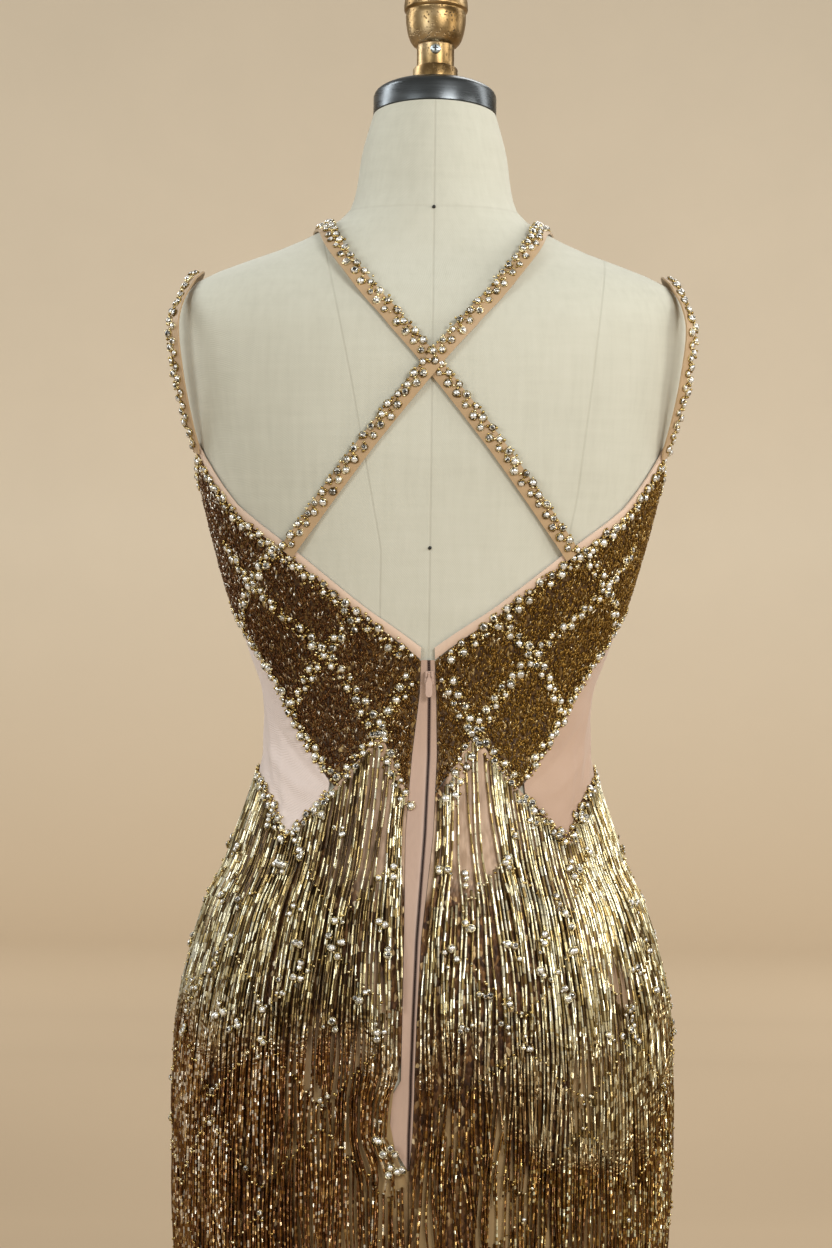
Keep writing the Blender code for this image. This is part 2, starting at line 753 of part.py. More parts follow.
def build_pull(hinge):
    """A flat tab with a round foot, and the barrel at its head that turns between the lugs."""
    turn = np.radians(np.linspace(180, 360, PULL_FOOT_POINTS))
    neck = PULL_NECK / 2
    foot = PULL_WIDTH / 2
    outline = [(-neck, 0), (-neck, -PULL_NECK_END), (-foot, -PULL_SHOULDER)]
    low = -PULL_LENGTH + foot
    outline += [(foot * math.cos(t), low + foot * math.sin(t)) for t in turn]
    outline += [(foot, -PULL_SHOULDER), (neck, -PULL_NECK_END), (neck, 0)]
    plate = bmesh.new()
    corners = [plate.verts.new((x, -PULL_THICK / 2, z)) for x, z in outline]
    face = plate.faces.new(corners)
    grown = bmesh.ops.extrude_face_region(plate, geom=[face])["geom"]
    moved = [v for v in grown if isinstance(v, bmesh.types.BMVert)]
    bmesh.ops.translate(plate, vec=(0, PULL_THICK, 0), verts=moved)
    bmesh.ops.recalc_face_normals(plate, faces=plate.faces)
    pull = object_from(plate, "zip_pull", NUDE_TAPE, (0, 0, 0))
    pull.parent = hinge
    barrel = bmesh.new()
    bmesh.ops.create_cone(barrel, cap_ends=True, segments=BARREL_SIDES, depth=PULL_BARREL_WIDTH,
                          radius1=PULL_BARREL_RADIUS, radius2=PULL_BARREL_RADIUS)
    guide = object_from(barrel, "barrel_guide", NUDE_TAPE, (0, 0, 0))
    guide.rotation_euler.y = math.pi / 2
    join_solid(pull, guide)


# Straps


def route(points, samples):
    """Even samples of a smooth curve through the points."""
    knots = np.array(points, float) * MM
    travel = np.concatenate([[0], np.cumsum(np.linalg.norm(np.diff(knots, axis=0), axis=1))])
    at = np.linspace(0, travel[-1], samples)
    return np.stack([smooth(at, travel, knots[:, n]) for n in range(3)], axis=1)


def strap(name, line, lift):
    """A flat band along a line, its inner face at least the lift away from the body."""
    line = pushed_clear(line, lift)
    tangent = np.gradient(line, axis=0)
    tangent /= np.linalg.norm(tangent, axis=1)[:, None]
    outward = body_distance(line)[1]
    across = np.cross(tangent, outward)
    across /= np.linalg.norm(across, axis=1)[:, None]
    edges = [pushed_clear(line + across * side * STRAP_WIDTH / 2, lift) for side in (-1, 1)]
    face = np.cross(edges[1] - edges[0], tangent)
    face /= np.linalg.norm(face, axis=1)[:, None]
    face *= np.sign(np.sum(face * outward, axis=1))[:, None]
    ring = [edges[0], edges[1], edges[1] + face * STRAP_THICK, edges[0] + face * STRAP_THICK]
    points = np.stack(ring, axis=1)
    count = len(line)
    faces = [[0, 1, 2, 3], [4 * count - 4 + k for k in (3, 2, 1, 0)]]
    for i in range(count - 1):
        for k in range(4):
            n = (k + 1) % 4
            faces.append([4 * i + k, 4 * i + n, 4 * i + 4 + n, 4 * i + 4 + k])
    facing_out(add_object(name, points.reshape(-1, 3), faces, STONE_BAND))


def edge_lift(line):
    """Lift along a strap: higher at the two ends, where it lies on the bound edge."""
    travel = np.concatenate([[0], np.cumsum(np.linalg.norm(np.diff(line, axis=0), axis=1))])
    near_end = np.minimum(travel, travel[-1] - travel)
    share = np.clip(STRAP_EDGE_HOLD - near_end / STRAP_EDGE_REACH, 0, 1)
    return STRAP_LIFT + (STRAP_OVER_EDGE - STRAP_LIFT) * share


def build_straps():
    for side, word in ((1, "left"), (-1, "right")):
        line = route(OUTER_ROUTE, OUTER_SAMPLES) * np.array([side, 1, 1])
        strap("outer_strap_" + word, line, edge_lift(line))
    for side, word in ((1, "over"), (-1, "under")):
        line = route(CROSS_ROUTE, CROSS_SAMPLES) * np.array([side, 1, 1])
        lift = edge_lift(line)
        if word == "over":
            near = np.clip(CROSS_OVER_HOLD - np.abs(line[:, 0]) / CROSS_OVER_REACH, 0, 1)
            lift = lift + CROSS_OVER_LIFT * near * (line[:, 1] > 0)
        strap("cross_strap_" + word, line, lift)


# Fringe


def heading_line(tier):
    """Height of a tier's heading at any angle: the first follows the skirt's top edge."""
    mean, rise = FRINGE_TIERS[tier][:2]
    if mean is None:
        return lambda angle: skirt_edge(180 - np.abs(180 - np.abs(angle) % 360)) - FIRST_HEADING
    period = 360 / ZIGZAGS

    def zigzag(angle):
        part = np.abs(((angle + period / 4) / period) % 1 * 2 - 1)
        return (mean + rise * (2 * part - 1)) * MM

    return zigzag


def build_fringe_tier(tier):
    """A narrow heading round the skirt, with locks that hang from every second stretch of it."""
    top_line = heading_line(tier)
    last = tier == len(FRINGE_TIERS) - 1
    mean = FRINGE_TIERS[tier][0]
    start = FRINGE_OPENING if mean is None or mean > TAPE_POINT / MM else FRINGE_JOIN
    columns = 2 * LOCKS_PER_TIER
    angles = np.linspace(start, 360 - start, columns)
    top = top_line(angles)
    foot = top - HEADING_HEIGHT
    inner = EASE + CLOTH + FRINGE_TIERS[tier][2] * MM
    outer = inner + HEADING_THICK
    ring = np.stack([
        surface(angles, top, inner), surface(angles, top, outer),
        surface(angles, foot, outer), surface(angles, foot, inner),
    ], axis=1)
    vertices = list(ring.reshape(-1, 3))
    faces = [[0, 1, 2, 3], [4 * columns - 4 + k for k in (3, 2, 1, 0)]]
    segments = FRINGE_TIERS[tier][3]
    for i in range(columns - 1):
        a, b = 4 * i, 4 * i + 4
        faces += [[a, b, b + 1, a + 1], [a + 1, b + 1, b + 2, a + 2], [a + 3, b + 3, b, a]]
        if i % 2:
            faces.append([a + 2, b + 2, b + 3, a + 3])
            continue
        middle = (angles[i] + angles[i + 1]) / 2
        reach = np.linspace(angles[i] - 1, angles[i + 1] + 1, LOCK_CLEARANCE_SAMPLES)
        end = FRINGE_END if last else heading_line(tier + 1)(reach).max() + LOCK_GAP
        root = [a + 3, b + 3, b + 2, a + 2]
        begin = min(foot[i], foot[i + 1])
        for k in range(1, segments + 1):
            height = begin + (end - begin) * k / segments
            half = lock_half_angle(middle, height)
            at = np.array([middle - half, middle + half, middle + half, middle - half])
            flare = np.clip((FLUTE_TOP - height) / FLUTE_TOP, 0, 1)
            off = EASE + CLOTH + LOCK_STAND_OFF + LOCK_FLARE_OFF * flare
            rise = np.array([0, 0, LOCK_THICK, LOCK_THICK]) + off
            tip = list(range(len(vertices), len(vertices) + 4))
            vertices += list(surface(at, np.full(4, height), rise))
            for n in range(4):
                m = (n + 1) % 4
                faces.append([root[n], root[m], tip[m], tip[n]])
            root = tip
        faces.append(root)
    name = "fringe_tier_" + str(tier + 1)
    facing_out(add_object(name, np.array(vertices), faces, GOLD_STRINGS))


def lock_half_angle(angle, height):
    """Half the angle that a lock of its real width covers."""
    near = surface(np.array([angle - 1, angle + 1]), height, EASE + CLOTH)
    return LOCK_WIDTH / np.linalg.norm(near[1] - near[0])


def build():
    for obj in list(bpy.data.objects):
        bpy.data.objects.remove(obj)
    build_form()
    build_finial()
    build_stand()
    build_bodice()
    build_side_nets()
    build_skirt()
    build_zip_tapes()
    build_slider()
    build_straps()
    for tier in range(len(FRINGE_TIERS)):
        build_fringe_tier(tier)


build()
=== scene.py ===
"""Looks of the beaded mermaid gown and of the linen dress form that wears it.

Metres, +Z up. The open back faces +Y and the wearer's left is +X. Angles go round the body in degrees
from the centre back, positive towards the wearer's left, as in the construction.
"""

import math

import bpy
import numpy as np
from mathutils import Matrix


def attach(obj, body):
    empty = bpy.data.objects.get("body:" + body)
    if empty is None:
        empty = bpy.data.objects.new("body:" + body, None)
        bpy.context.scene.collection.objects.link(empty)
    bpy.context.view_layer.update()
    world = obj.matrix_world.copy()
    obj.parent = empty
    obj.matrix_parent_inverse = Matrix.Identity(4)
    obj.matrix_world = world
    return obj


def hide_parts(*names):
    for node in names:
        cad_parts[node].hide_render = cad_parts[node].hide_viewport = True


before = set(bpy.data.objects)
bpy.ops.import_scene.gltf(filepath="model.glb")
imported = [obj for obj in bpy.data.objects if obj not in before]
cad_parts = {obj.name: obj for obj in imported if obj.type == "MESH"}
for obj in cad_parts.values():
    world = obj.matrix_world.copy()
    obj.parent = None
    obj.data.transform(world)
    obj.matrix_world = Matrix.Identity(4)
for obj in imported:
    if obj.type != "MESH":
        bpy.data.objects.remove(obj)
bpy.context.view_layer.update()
MM = 0.001

# Camera that stands behind the gown, level, a little off its middle, as the photograph's does
PHOTO_HEIGHT, FOCAL_PIXELS, SENSOR_MM = 1248, 4027, 36
EYE, CAMERA_ROLL = (0.0093, 3.0, 1.126), 0.0125
# Studio: reach of the floor each way, where the backdrop's curve starts, its radius, the wall's height
FLOOR_REACH, WALL_PLACE, COVE, WALL_HEIGHT = 14.0, 11.0, 2.0, 6.0
# Backdrop's colour, the share of it that painted shade leaves high up, and the floor's share, warmer and,
# with painted shade, darker
BACKDROP_COLOUR, HIGH_SHARE, FLOOR_SHARE = (0.57, 0.49, 0.375), 0.80, (0.87, 0.785, 0.70)
# Heights between which painted shade darkens the wall, and the floor's tone gives way to the wall's
HIGH_FADE, FLOOR_FADE = (3.8, 1.4), (1.5, 0.05)
# The floor's tone from the backdrop's foot to in front of the gown, which evens out what the lights do
FLOOR_SPAN = (-WALL_PLACE, 1.0)
FLOOR_TONES = ((0.0, 1.0), (0.21, 0.81), (0.30, 0.86), (0.42, 1.12), (0.54, 1.32), (0.75, 1.04))
# Lights: name, place, the point it looks at, width and height, watts, colour
LIGHTS = (
    ("key", (-2.1, 4.0, 3.2), (0, 0, 1.0), (1.8, 1.4), 115, (1.0, 0.99, 0.97)),
    ("fill", (2.6, 3.2, 2.2), (0, 0, 1.1), (1.6, 1.6), 47, (0.95, 0.99, 1.0)),
    ("rim_left", (1.7, -0.6, 2.2), (0, 0, 1.2), (0.5, 1.6), 18, (0.97, 0.99, 1.0)),
    ("rim_right", (-1.7, -0.6, 2.2), (0, 0, 1.2), (0.5, 1.6), 9, (1.0, 0.99, 0.97)),
    ("side_right", (-1.7, 0.6, 1.7), (0, 0, 1.1), (0.8, 0.8), 11, (1.0, 0.97, 0.92)),
    ("wall_left", (3.2, -7.5, 3.4), (-0.5, -13.0, 1.6), (1.2, 2.0), 168, (1.0, 0.99, 0.97)),
    ("wall_right", (-3.2, -7.5, 3.4), (0.3, -13.0, 1.6), (1.2, 2.0), 205, (1.0, 0.99, 0.97)),
    ("floor_light", (-1.4, -4.2, 4.8), (-0.6, -4.0, 0.0), (3.0, 3.0), 105, (1.0, 0.98, 0.95)),
)
AIR_COLOUR, AIR_STRENGTH = (0.88, 0.84, 0.76, 1), 0.38

# Body shape that the form and the gown share: mm
# height, half width, depth behind, depth in front, shift of the middle towards +Y, squareness
BODY_SECTIONS = (
    (12, 394, 388, 388, 0, 2.0),
    (100, 330, 325, 323, 0, 2.0),
    (200, 260, 257, 252, 0, 2.0),
    (300, 200, 200, 191, 0, 2.0),
    (400, 162, 163, 148, 0, 2.1),
    (480, 154, 147, 131, 0, 2.2),
    (560, 163, 140, 124, 0, 2.2),
    (640, 174, 133, 117, 0, 2.3),
    (700, 178, 129, 112, 0, 2.3),
    (760, 179, 127, 109, 0, 2.3),
    (810, 178, 127, 107, 0, 2.3),
    (846, 175, 125, 106, 0, 2.3),
    (883, 167, 120, 105, 0, 2.3),
    (920, 156, 110, 103, 0, 2.3),
    (950, 142, 99, 99, 0, 2.3),
    (975, 134, 89, 94, 0, 2.3),
    (1000, 126, 82, 89, 0, 2.3),
    (1040, 118, 76, 84, 0, 2.3),
    (1069, 119, 77, 86, 0, 2.3),
    (1107, 131, 82, 92, 0, 2.3),
    (1144, 145, 89, 98, 0, 2.3),
    (1181, 156, 95, 102, 0, 2.3),
    (1220, 166, 100, 104, 0, 2.3),
    (1256, 174, 103, 104, 0, 2.3),
    (1308, 186, 103, 97, 0, 2.3),
    (1345, 189, 99, 84, 0, 2.3),
    (1361, 187, 93, 73, 0, 2.3),
    (1377, 176, 84, 65, 0, 2.3),
    (1388, 154, 76, 60, 0, 2.2),
    (1401, 118, 69, 58, 0, 2.1),
    (1418, 82, 63, 58, -1, 2.0),
    (1432, 63, 60, 58, -2, 2.0),
    (1447, 58, 56, 56, -4, 2.0),
    (1475, 54, 52, 53, -8, 2.0),
    (1491, 50, 49, 50, -10, 2.0),
    (1505, 46, 46, 46, -12, 2.0),
)
BUST_SIDE, BUST_HEIGHT = 88 * MM, 1245 * MM
FORM_BUST, GOWN_BUST = 24 * MM, 30 * MM
BUST_SPREAD_X, BUST_SPREAD_Z, BUST_FADE = 46 * MM, 44 * MM, 2.5
FLUTES, FLUTE_DEPTH, FLUTE_TOP, HEM_HEIGHT = 8, 18 * MM, 470 * MM, 12 * MM
FLUTE_GROWTH, FLUTE_UNEVEN, FLUTE_SIDEWAYS = 1.4, 0.6, 0.15

# Cloth walls, measured out from the body shape
EASE, CLOTH, NET, TAPE_CLOTH = 1.2 * MM, 2.0 * MM, 1.4 * MM, 1.5 * MM
SEAM_GAP, BINDING_WIDTH, SLOT_GAP = 0.36 * MM, 7 * MM, 0.5 * MM
OUTSIDE = EASE + CLOTH

# Outlines: angle from the centre back in degrees, height in mm
TOP_EDGE = (
    (0, 1103), (4, 1108), (16.5, 1133), (26, 1154), (38, 1181), (45, 1194), (55, 1212), (66, 1240),
    (74, 1259), (82, 1247), (90, 1238), (102, 1242), (114, 1262), (125, 1277), (135, 1284),
    (146, 1300), (155, 1284), (163.5, 1256), (180, 1204),
)
BODICE_EDGE = (
    (0, 988), (16.5, 1047), (31, 1007), (45, 1038), (55, 1064), (66, 1099), (78, 1124), (90, 1133),
    (102, 1124), (114, 1099), (125, 1064), (135, 1038), (146, 1007), (163.5, 1047), (180, 988),
)
SKIRT_EDGE = (
    (0, 988), (16.5, 1047), (31, 1007), (45, 971), (55, 994), (66, 1008), (90, 1020), (114, 1008),
    (125, 994), (135, 971), (146, 1007), (163.5, 1047), (180, 988),
)

# Zip: height, place of the slot across the back, width of the tape left and right of it, mm
ZIP_LINE = (
    (1110, 0, 5, 4), (1075, -1, 7, 5), (1030, -1, 12, 6), (975, 1, 14, 6), (900, 6, 9, 3),
    (840, 8, 7.5, 2.5), (800, 9, 7, 2.5), (790, 9, 13, 2.5), (758, 10, 14, 2.5),
    (733, 10, 0.3, 0.3), (400, 4, 0.3, 0.3), (12, 0, 0.3, 0.3),
)
TAPE_TOP, TAPE_POINT, FLAP_FOOT, FLAP_CORNER = 1100 * MM, 736 * MM, 758 * MM, 3 * MM
CENTRE_BACK, CENTRE_FADE = 4.5, 15.0

# Straps
STRAP_WIDTH, STRAP_THICK, STRAP_LIFT, STRAP_OVER_EDGE = 12 * MM, 1.8 * MM, 1.6 * MM, 4.0 * MM
STRAP_EDGE_REACH, STRAP_EDGE_HOLD = 20 * MM, 1.6
CROSS_OVER_LIFT, CROSS_OVER_REACH, CROSS_OVER_HOLD = 2.5 * MM, 26 * MM, 1.5
CLEARING_ROUNDS, SLOPE_STEP = 6, 0.5 * MM
OUTER_ROUTE = (
    (171, 31, 1251), (178, 41, 1275), (185, 50, 1308), (189, 49, 1342), (184, 33, 1364),
    (175, 6, 1383), (178, -20, 1369), (176, -42, 1342), (166, -64, 1306), (150, -80, 1272),
)
CROSS_ROUTE = (
    (103, 79, 1177), (58, 96, 1240), (0, 101, 1314), (-53, 88, 1375), (-74, 58, 1405),
    (-80, 20, 1418), (-84, -30, 1411), (-88, -66, 1372), (-89, -93, 1330), (-87, -118.5, 1284),
)

# Form and finial
FORM_FOOT, NECK_TOP, NECK_LEAN_FROM = 718 * MM, 1505 * MM, 1440 * MM
NECK_LEAN, NECK_SHIFT, REST_GAP = 9.5, -12 * MM, 0.3 * MM
NECK_SEAM = 1432 * MM
PIN_HEIGHTS, PIN_RADIUS = (1431 * MM, 1181 * MM), 1.5 * MM
# Seams of the form as x and height, mm: centre, wearer's left and right
FORM_SEAMS = (
    ((0, 718), (0, 1510)),
    ((70, 718), (36, 1050), (35.5, 1180), (58, 1300), (80, 1405), (84, 1440)),
    ((-80, 718), (-70, 1050), (-106, 1216), (-116, 1300), (-126, 1392), (-128, 1440)),
)
FINIAL_SEAT = 27.6 * MM
SCREW_HEIGHT, FINIAL_NECK = 21.5 * MM, 14 * MM

# Bead strings: tiers of zigzag headings all round the skirt
# mean height and rise of the heading, length of a string, all mm, and the strings in the tier
STRING_TIERS = (
    (None, 0, 118, 310),
    (938, 22, 116, 320),
    (872, 24, 112, 330),
    (806, 24, 110, 330),
    (742, 24, 108, 330),
    (676, 24, 106, 330),
    (612, 24, 104, 320),
    (550, 24, 102, 310),
    (490, 22, 100, 300),
    (430, 20, 98, 320),
    (370, 20, 92, 360),
    (310, 18, 88, 400),
    (250, 18, 84, 440),
    (190, 16, 84, 500),
    (126, 14, 108, 560),
)
ZIGZAGS = 12
STRING_RADIUS = 1.05 * MM
STRING_END = 20 * MM
STRING_RINGS, LOW_STRING_RINGS, FIRST_LOW_TIER = 11, 7, 6
STRING_SPREAD = 0.14
# Where the first tier's strings part: place and width in degrees, and how far they are pushed aside
PARTINGS, PARTING_PUSH = ((14, 4.5), (345, 5.5)), 1.1
CAD_TIERS = {0: 1, 1: 2, 3: 3, 5: 4, 8: 5}

# Stones and beads
STONE_RADIUS, GOLD_BEAD_RADIUS = 2.7 * MM, 1.25 * MM
# Along a line of the lattice: step from stone to stone, sway to each side, share of stones missing
ROW_STEP, ROW_SWAY, ROW_LOST = 5.1 * MM, 2.1 * MM, 0.03
# Rows of gold beads beside a line, as shares of the stones' sway: on the back, and sparser on the front
BACK_BEAD_ROWS, FRONT_BEAD_ROWS = (-4.2, -2.1, 0.1, 2.1, 4.2), (-3.6, -1.2, 1.2, 3.6)
# Along a strap: step from stone to stone, and the stones' and the beads' places across it
STRAP_STEP, STRAP_STONE_ROWS, STRAP_BEAD_ROWS = 4.9 * MM, (0.12, 0.54), (0.0, 0.22, 0.42)
# Bugle beads of each bodice panel, the room that they leave at its edges, and the heights they lie in
BUGLES, BUGLE_ROOM = {"back_left": 8200, "back_right": 8200, "front": 12800}, 1.2 * MM
BUGLE_HEIGHTS = (0.985, 1.305)
# Gold beads of a heading: mm from one to the next in the tiers before each number
HEADING_STEPS = ((5, 3.1), (8, 5.5), (15, 10))
# The first angle at which headings may carry beads or stones, clear of the zip
HEADING_START, STONE_START = 9.5, 9
# Corners of the stone lattice on the back: angle in degrees, height in mm
LATTICE = {
    "neck_low": (20.8, 1128), "neck_high": (41.5, 1180), "cross_low": (33.5, 1105),
    "cross_high": (55.5, 1154), "edge_low": (51.4, 1063), "edge_high": (73, 1124), "peak": (16.6, 1047),
    "zip_foot": (6.0, 992), "zip_head": (5.0, 1090), "corner": (30.5, 1010), "shoulder": (66.5, 1184),
}
LATTICE_LINES = (
    ("neck_low", "cross_low", "edge_low"),
    ("neck_high", "cross_high", "edge_high"),
    ("zip_foot", "peak", "cross_low", "cross_high", "shoulder"),
    ("zip_head", "peak", "corner"),
)
# Lines of the simpler lattice on the front, each mirrored: angle in degrees, height in mm
FRONT_LATTICE = (
    ((163.5, 1047), (146.5, 1105), (124.5, 1154), (106, 1196)), ((146, 1010), (163.5, 1047)),
    ((159, 1220), (146.5, 1105), (129, 1063)), ((140, 1250), (124.5, 1154), (107, 1116)),
    ((180, 1180), (163.5, 1120), (150, 1180)), ((180, 1045), (163.5, 1120), (146.5, 1105)),
)
# Clusters of stones on the strings of the back: angle in degrees, height in mm
CLUSTERS = (
    (6, 946), (10, 942), (26, 975), (34, 986), (40, 971), (53, 985), (43, 950), (36, 921), (30, 898),
    (21, 895), (29, 876), (6, 890), (11, 911), (57, 877), (52, 842), (34, 860), (20, 840), (10, 834),
    (46, 831), (63, 925), (66, 860), (15, 862), (9.4, 762), (7, 748), (6, 739),
)
SEED = 11
NARROWEST_CUT = 10 * MM


# The body surface


def smooth(x, xs, ys):
    """A curve through the points (xs, ys) with no overshoot: a cubic between each two, whose slopes at
    the points are the harmonic means of the neighbouring chords' slopes."""
    xs, ys = np.asarray(xs, float), np.asarray(ys, float)
    chord = np.diff(ys) / np.diff(xs)
    slope = np.empty_like(ys)
    same = chord[1:] * chord[:-1] > 0
    slope[1:-1] = np.where(same, 2 * chord[1:] * chord[:-1], 0) / np.where(same, chord[1:] + chord[:-1], 1)
    slope[0], slope[-1] = chord[0], chord[-1]
    k = np.clip(np.searchsorted(xs, x) - 1, 0, len(xs) - 2)
    width = xs[k + 1] - xs[k]
    t = np.clip((x - xs[k]) / width, 0, 1)
    return (
        ys[k] * (1 + 2 * t) * (1 - t) ** 2
        + ys[k + 1] * t * t * (3 - 2 * t)
        + width * t * (1 - t) * (slope[k] * (1 - t) - slope[k + 1] * t)
    )


def unit(vectors):
    """Vectors divided by their own lengths."""
    return vectors / np.linalg.norm(vectors, axis=-1, keepdims=True)


def travelled(points):
    """Distance along a line of points from its start: the running sum of the steps' lengths."""
    steps = np.cumsum(np.linalg.norm(np.diff(points, axis=-2), axis=-1), axis=-1)
    return np.concatenate([np.zeros((*steps.shape[:-1], 1)), steps], axis=-1)


def read_off(at, travel, values):
    """Rows of values at some distances, straight between the rows that are known."""
    return np.stack([np.interp(at, travel, column) for column in values.T], axis=1)


def section(height):
    """Half width, depth behind, depth in front, shift and squareness at a height."""
    table = np.array(BODY_SECTIONS, float)
    columns = [smooth(height / MM, table[:, 0], table[:, n]) for n in range(1, 6)]
    return [c * MM for c in columns[:4]] + [columns[4]]


def bust(x, height, depth):
    """A bell in x and z round the middle of each cup, as deep as asked."""
    side = (np.abs(x) - BUST_SIDE) / BUST_SPREAD_X
    rise = (height - BUST_HEIGHT) / BUST_SPREAD_Z
    return depth * np.exp(-0.5 * (side**2 + rise**2))


def flute(angle, height):
    """Waves of the hem: a cosine of eight turns whose phase sways, deeper towards the floor."""
    depth = np.clip((FLUTE_TOP - height) / (FLUTE_TOP - HEM_HEIGHT), 0, 1) ** FLUTE_GROWTH
    turn = np.radians(angle)
    wave = np.cos(FLUTES * turn + FLUTE_UNEVEN * np.sin(FLUTES / 2 * turn))
    wave -= FLUTE_SIDEWAYS * np.cos(2 * turn)
    return FLUTE_DEPTH * depth * wave


def surface(angle, height, out=0.0):
    """A superellipse |x/half|^n + |y/depth|^n = 1 at each height, moved out along its normal, less the
    bust on the front."""
    angle, height, out = np.broadcast_arrays(
        np.asarray(angle, float), np.asarray(height, float), np.asarray(out, float)
    )
    half, back, front, shift, square = section(height)
    turn = np.radians(angle)
    s, c = np.sin(turn), np.cos(turn)
    depth = np.where(c >= 0, back, front)
    size = (np.abs(s) ** square + np.abs(c) ** square) ** (-1 / square)
    across, along = size * s, size * c
    normal_x = np.sign(s) * np.abs(across) ** (square - 1) / half
    normal_y = np.sign(c) * np.abs(along) ** (square - 1) / depth
    length = np.hypot(normal_x, normal_y)
    reach = out + flute(angle, height)
    x = across * half + reach * normal_x / length
    y = shift + along * depth + reach * normal_y / length
    cup = np.where(out > 0, GOWN_BUST, FORM_BUST)
    y = y - bust(across * half, height, cup) * np.clip(-c * BUST_FADE, 0, 1)
    return np.stack([x, y, height], axis=-1)


def directions(angle, height, out):
    """Unit vectors at places on the surface: round the body, up, and outwards, square to both."""
    turn_step, rise_step = 0.5, 1 * MM
    across = unit(surface(angle + turn_step, height, out) - surface(angle - turn_step, height, out))
    up = unit(surface(angle, height + rise_step, out) - surface(angle, height - rise_step, out))
    outward = unit(np.cross(up, across))
    outside = surface(angle, height, out + rise_step) - surface(angle, height, out)
    facing = np.sign(np.sum(outward * outside, axis=-1, keepdims=True))
    return across, up, outward * facing


def edge(table):
    """The height in metres of an outline at any angle; both sides are alike."""
    angles = np.array([row[0] for row in table], float)
    heights = np.array([row[1] for row in table], float) * MM
    return lambda angle: np.interp(180 - np.abs(180 - np.abs(angle) % 360), angles, heights)


top_edge, bodice_edge, skirt_edge = edge(TOP_EDGE), edge(BODICE_EDGE), edge(SKIRT_EDGE)


def zip_line(height):
    """Slot place and the tape widths left and right of it, at a height."""
    table = np.array(ZIP_LINE[::-1], float)
    return [np.interp(height / MM, table[:, 0], table[:, n]) * MM for n in (1, 2, 3)]


def angle_at(x, height, out=0.0):
    """The angle at which the back surface is x metres from the middle."""
    half, _, _, _, square = section(np.asarray(height, float))
    part = (np.abs(x) / (half + out)) ** square
    return np.sign(x) * np.degrees(np.arctan((part / (1 - part)) ** (1 / square)))


def follow_zip(angles, heights, side, room=SEAM_GAP):
    """Angles near the centre back moved so that the first lies along the zip tape or seam."""
    slot, left, right = zip_line(heights)
    x = slot + left + room if side > 0 else slot - right - room
    start = angle_at(x, heights, EASE)
    fade = np.clip(1 - (np.abs(angles) - CENTRE_BACK) / CENTRE_FADE, 0, 1)
    return angles + (start - side * CENTRE_BACK) * fade


def seam_shift(outline, angles, gap):
    """How far up or down an outline moves to leave a gap square to it."""
    step = 0.4  # degrees
    low, high = outline(angles - step), outline(angles + step)
    across = surface(angles + step, high)[:, :2] - surface(angles - step, low)[:, :2]
    return gap * np.sqrt(1 + ((high - low) / np.linalg.norm(across, axis=1)) ** 2)


def waves(x, y, seed, count=5, low=0.6, high=1.7):
    """Smooth uneven noise: a mean of sines in different directions. Values are mostly within 1."""
    rng = np.random.default_rng(seed)
    total = 0
    for _ in range(count):
        turn, pace, phase = rng.uniform(0, math.pi), rng.uniform(low, high), rng.uniform(0, 2 * math.pi)
        total = total + np.sin(pace * (x * math.cos(turn) + y * math.sin(turn)) + phase)
    return total / math.sqrt(count)


# Shaders


class Socket:
    """A shader value that adds Math nodes when it is used in an expression."""

    def __init__(self, finish, link):
        self.finish, self.link = finish, link

    def math(self, operation, *others):
        """Math on this value and others, by the name of its operation."""
        return self.finish.node("ShaderNodeMath", {"operation": operation}, [self, *others])

    def __add__(self, other):
        return self.math("ADD", other)

    def __sub__(self, other):
        return self.math("SUBTRACT", other)

    def __mul__(self, other):
        return self.math("MULTIPLY", other)

    def __truediv__(self, other):
        return self.math("DIVIDE", other)

    def __rsub__(self, other):
        return self.finish.node("ShaderNodeMath", {"operation": "SUBTRACT"}, [other, self])

    __radd__, __rmul__ = __add__, __mul__

    def between(self, low, high):
        """0 at low, 1 at high, straight in between and level outside."""
        settings = {"interpolation_type": "LINEAR", "clamp": True}
        inputs = {"Value": self, "From Min": low, "From Max": high}
        return self.finish.node("ShaderNodeMapRange", settings, inputs)


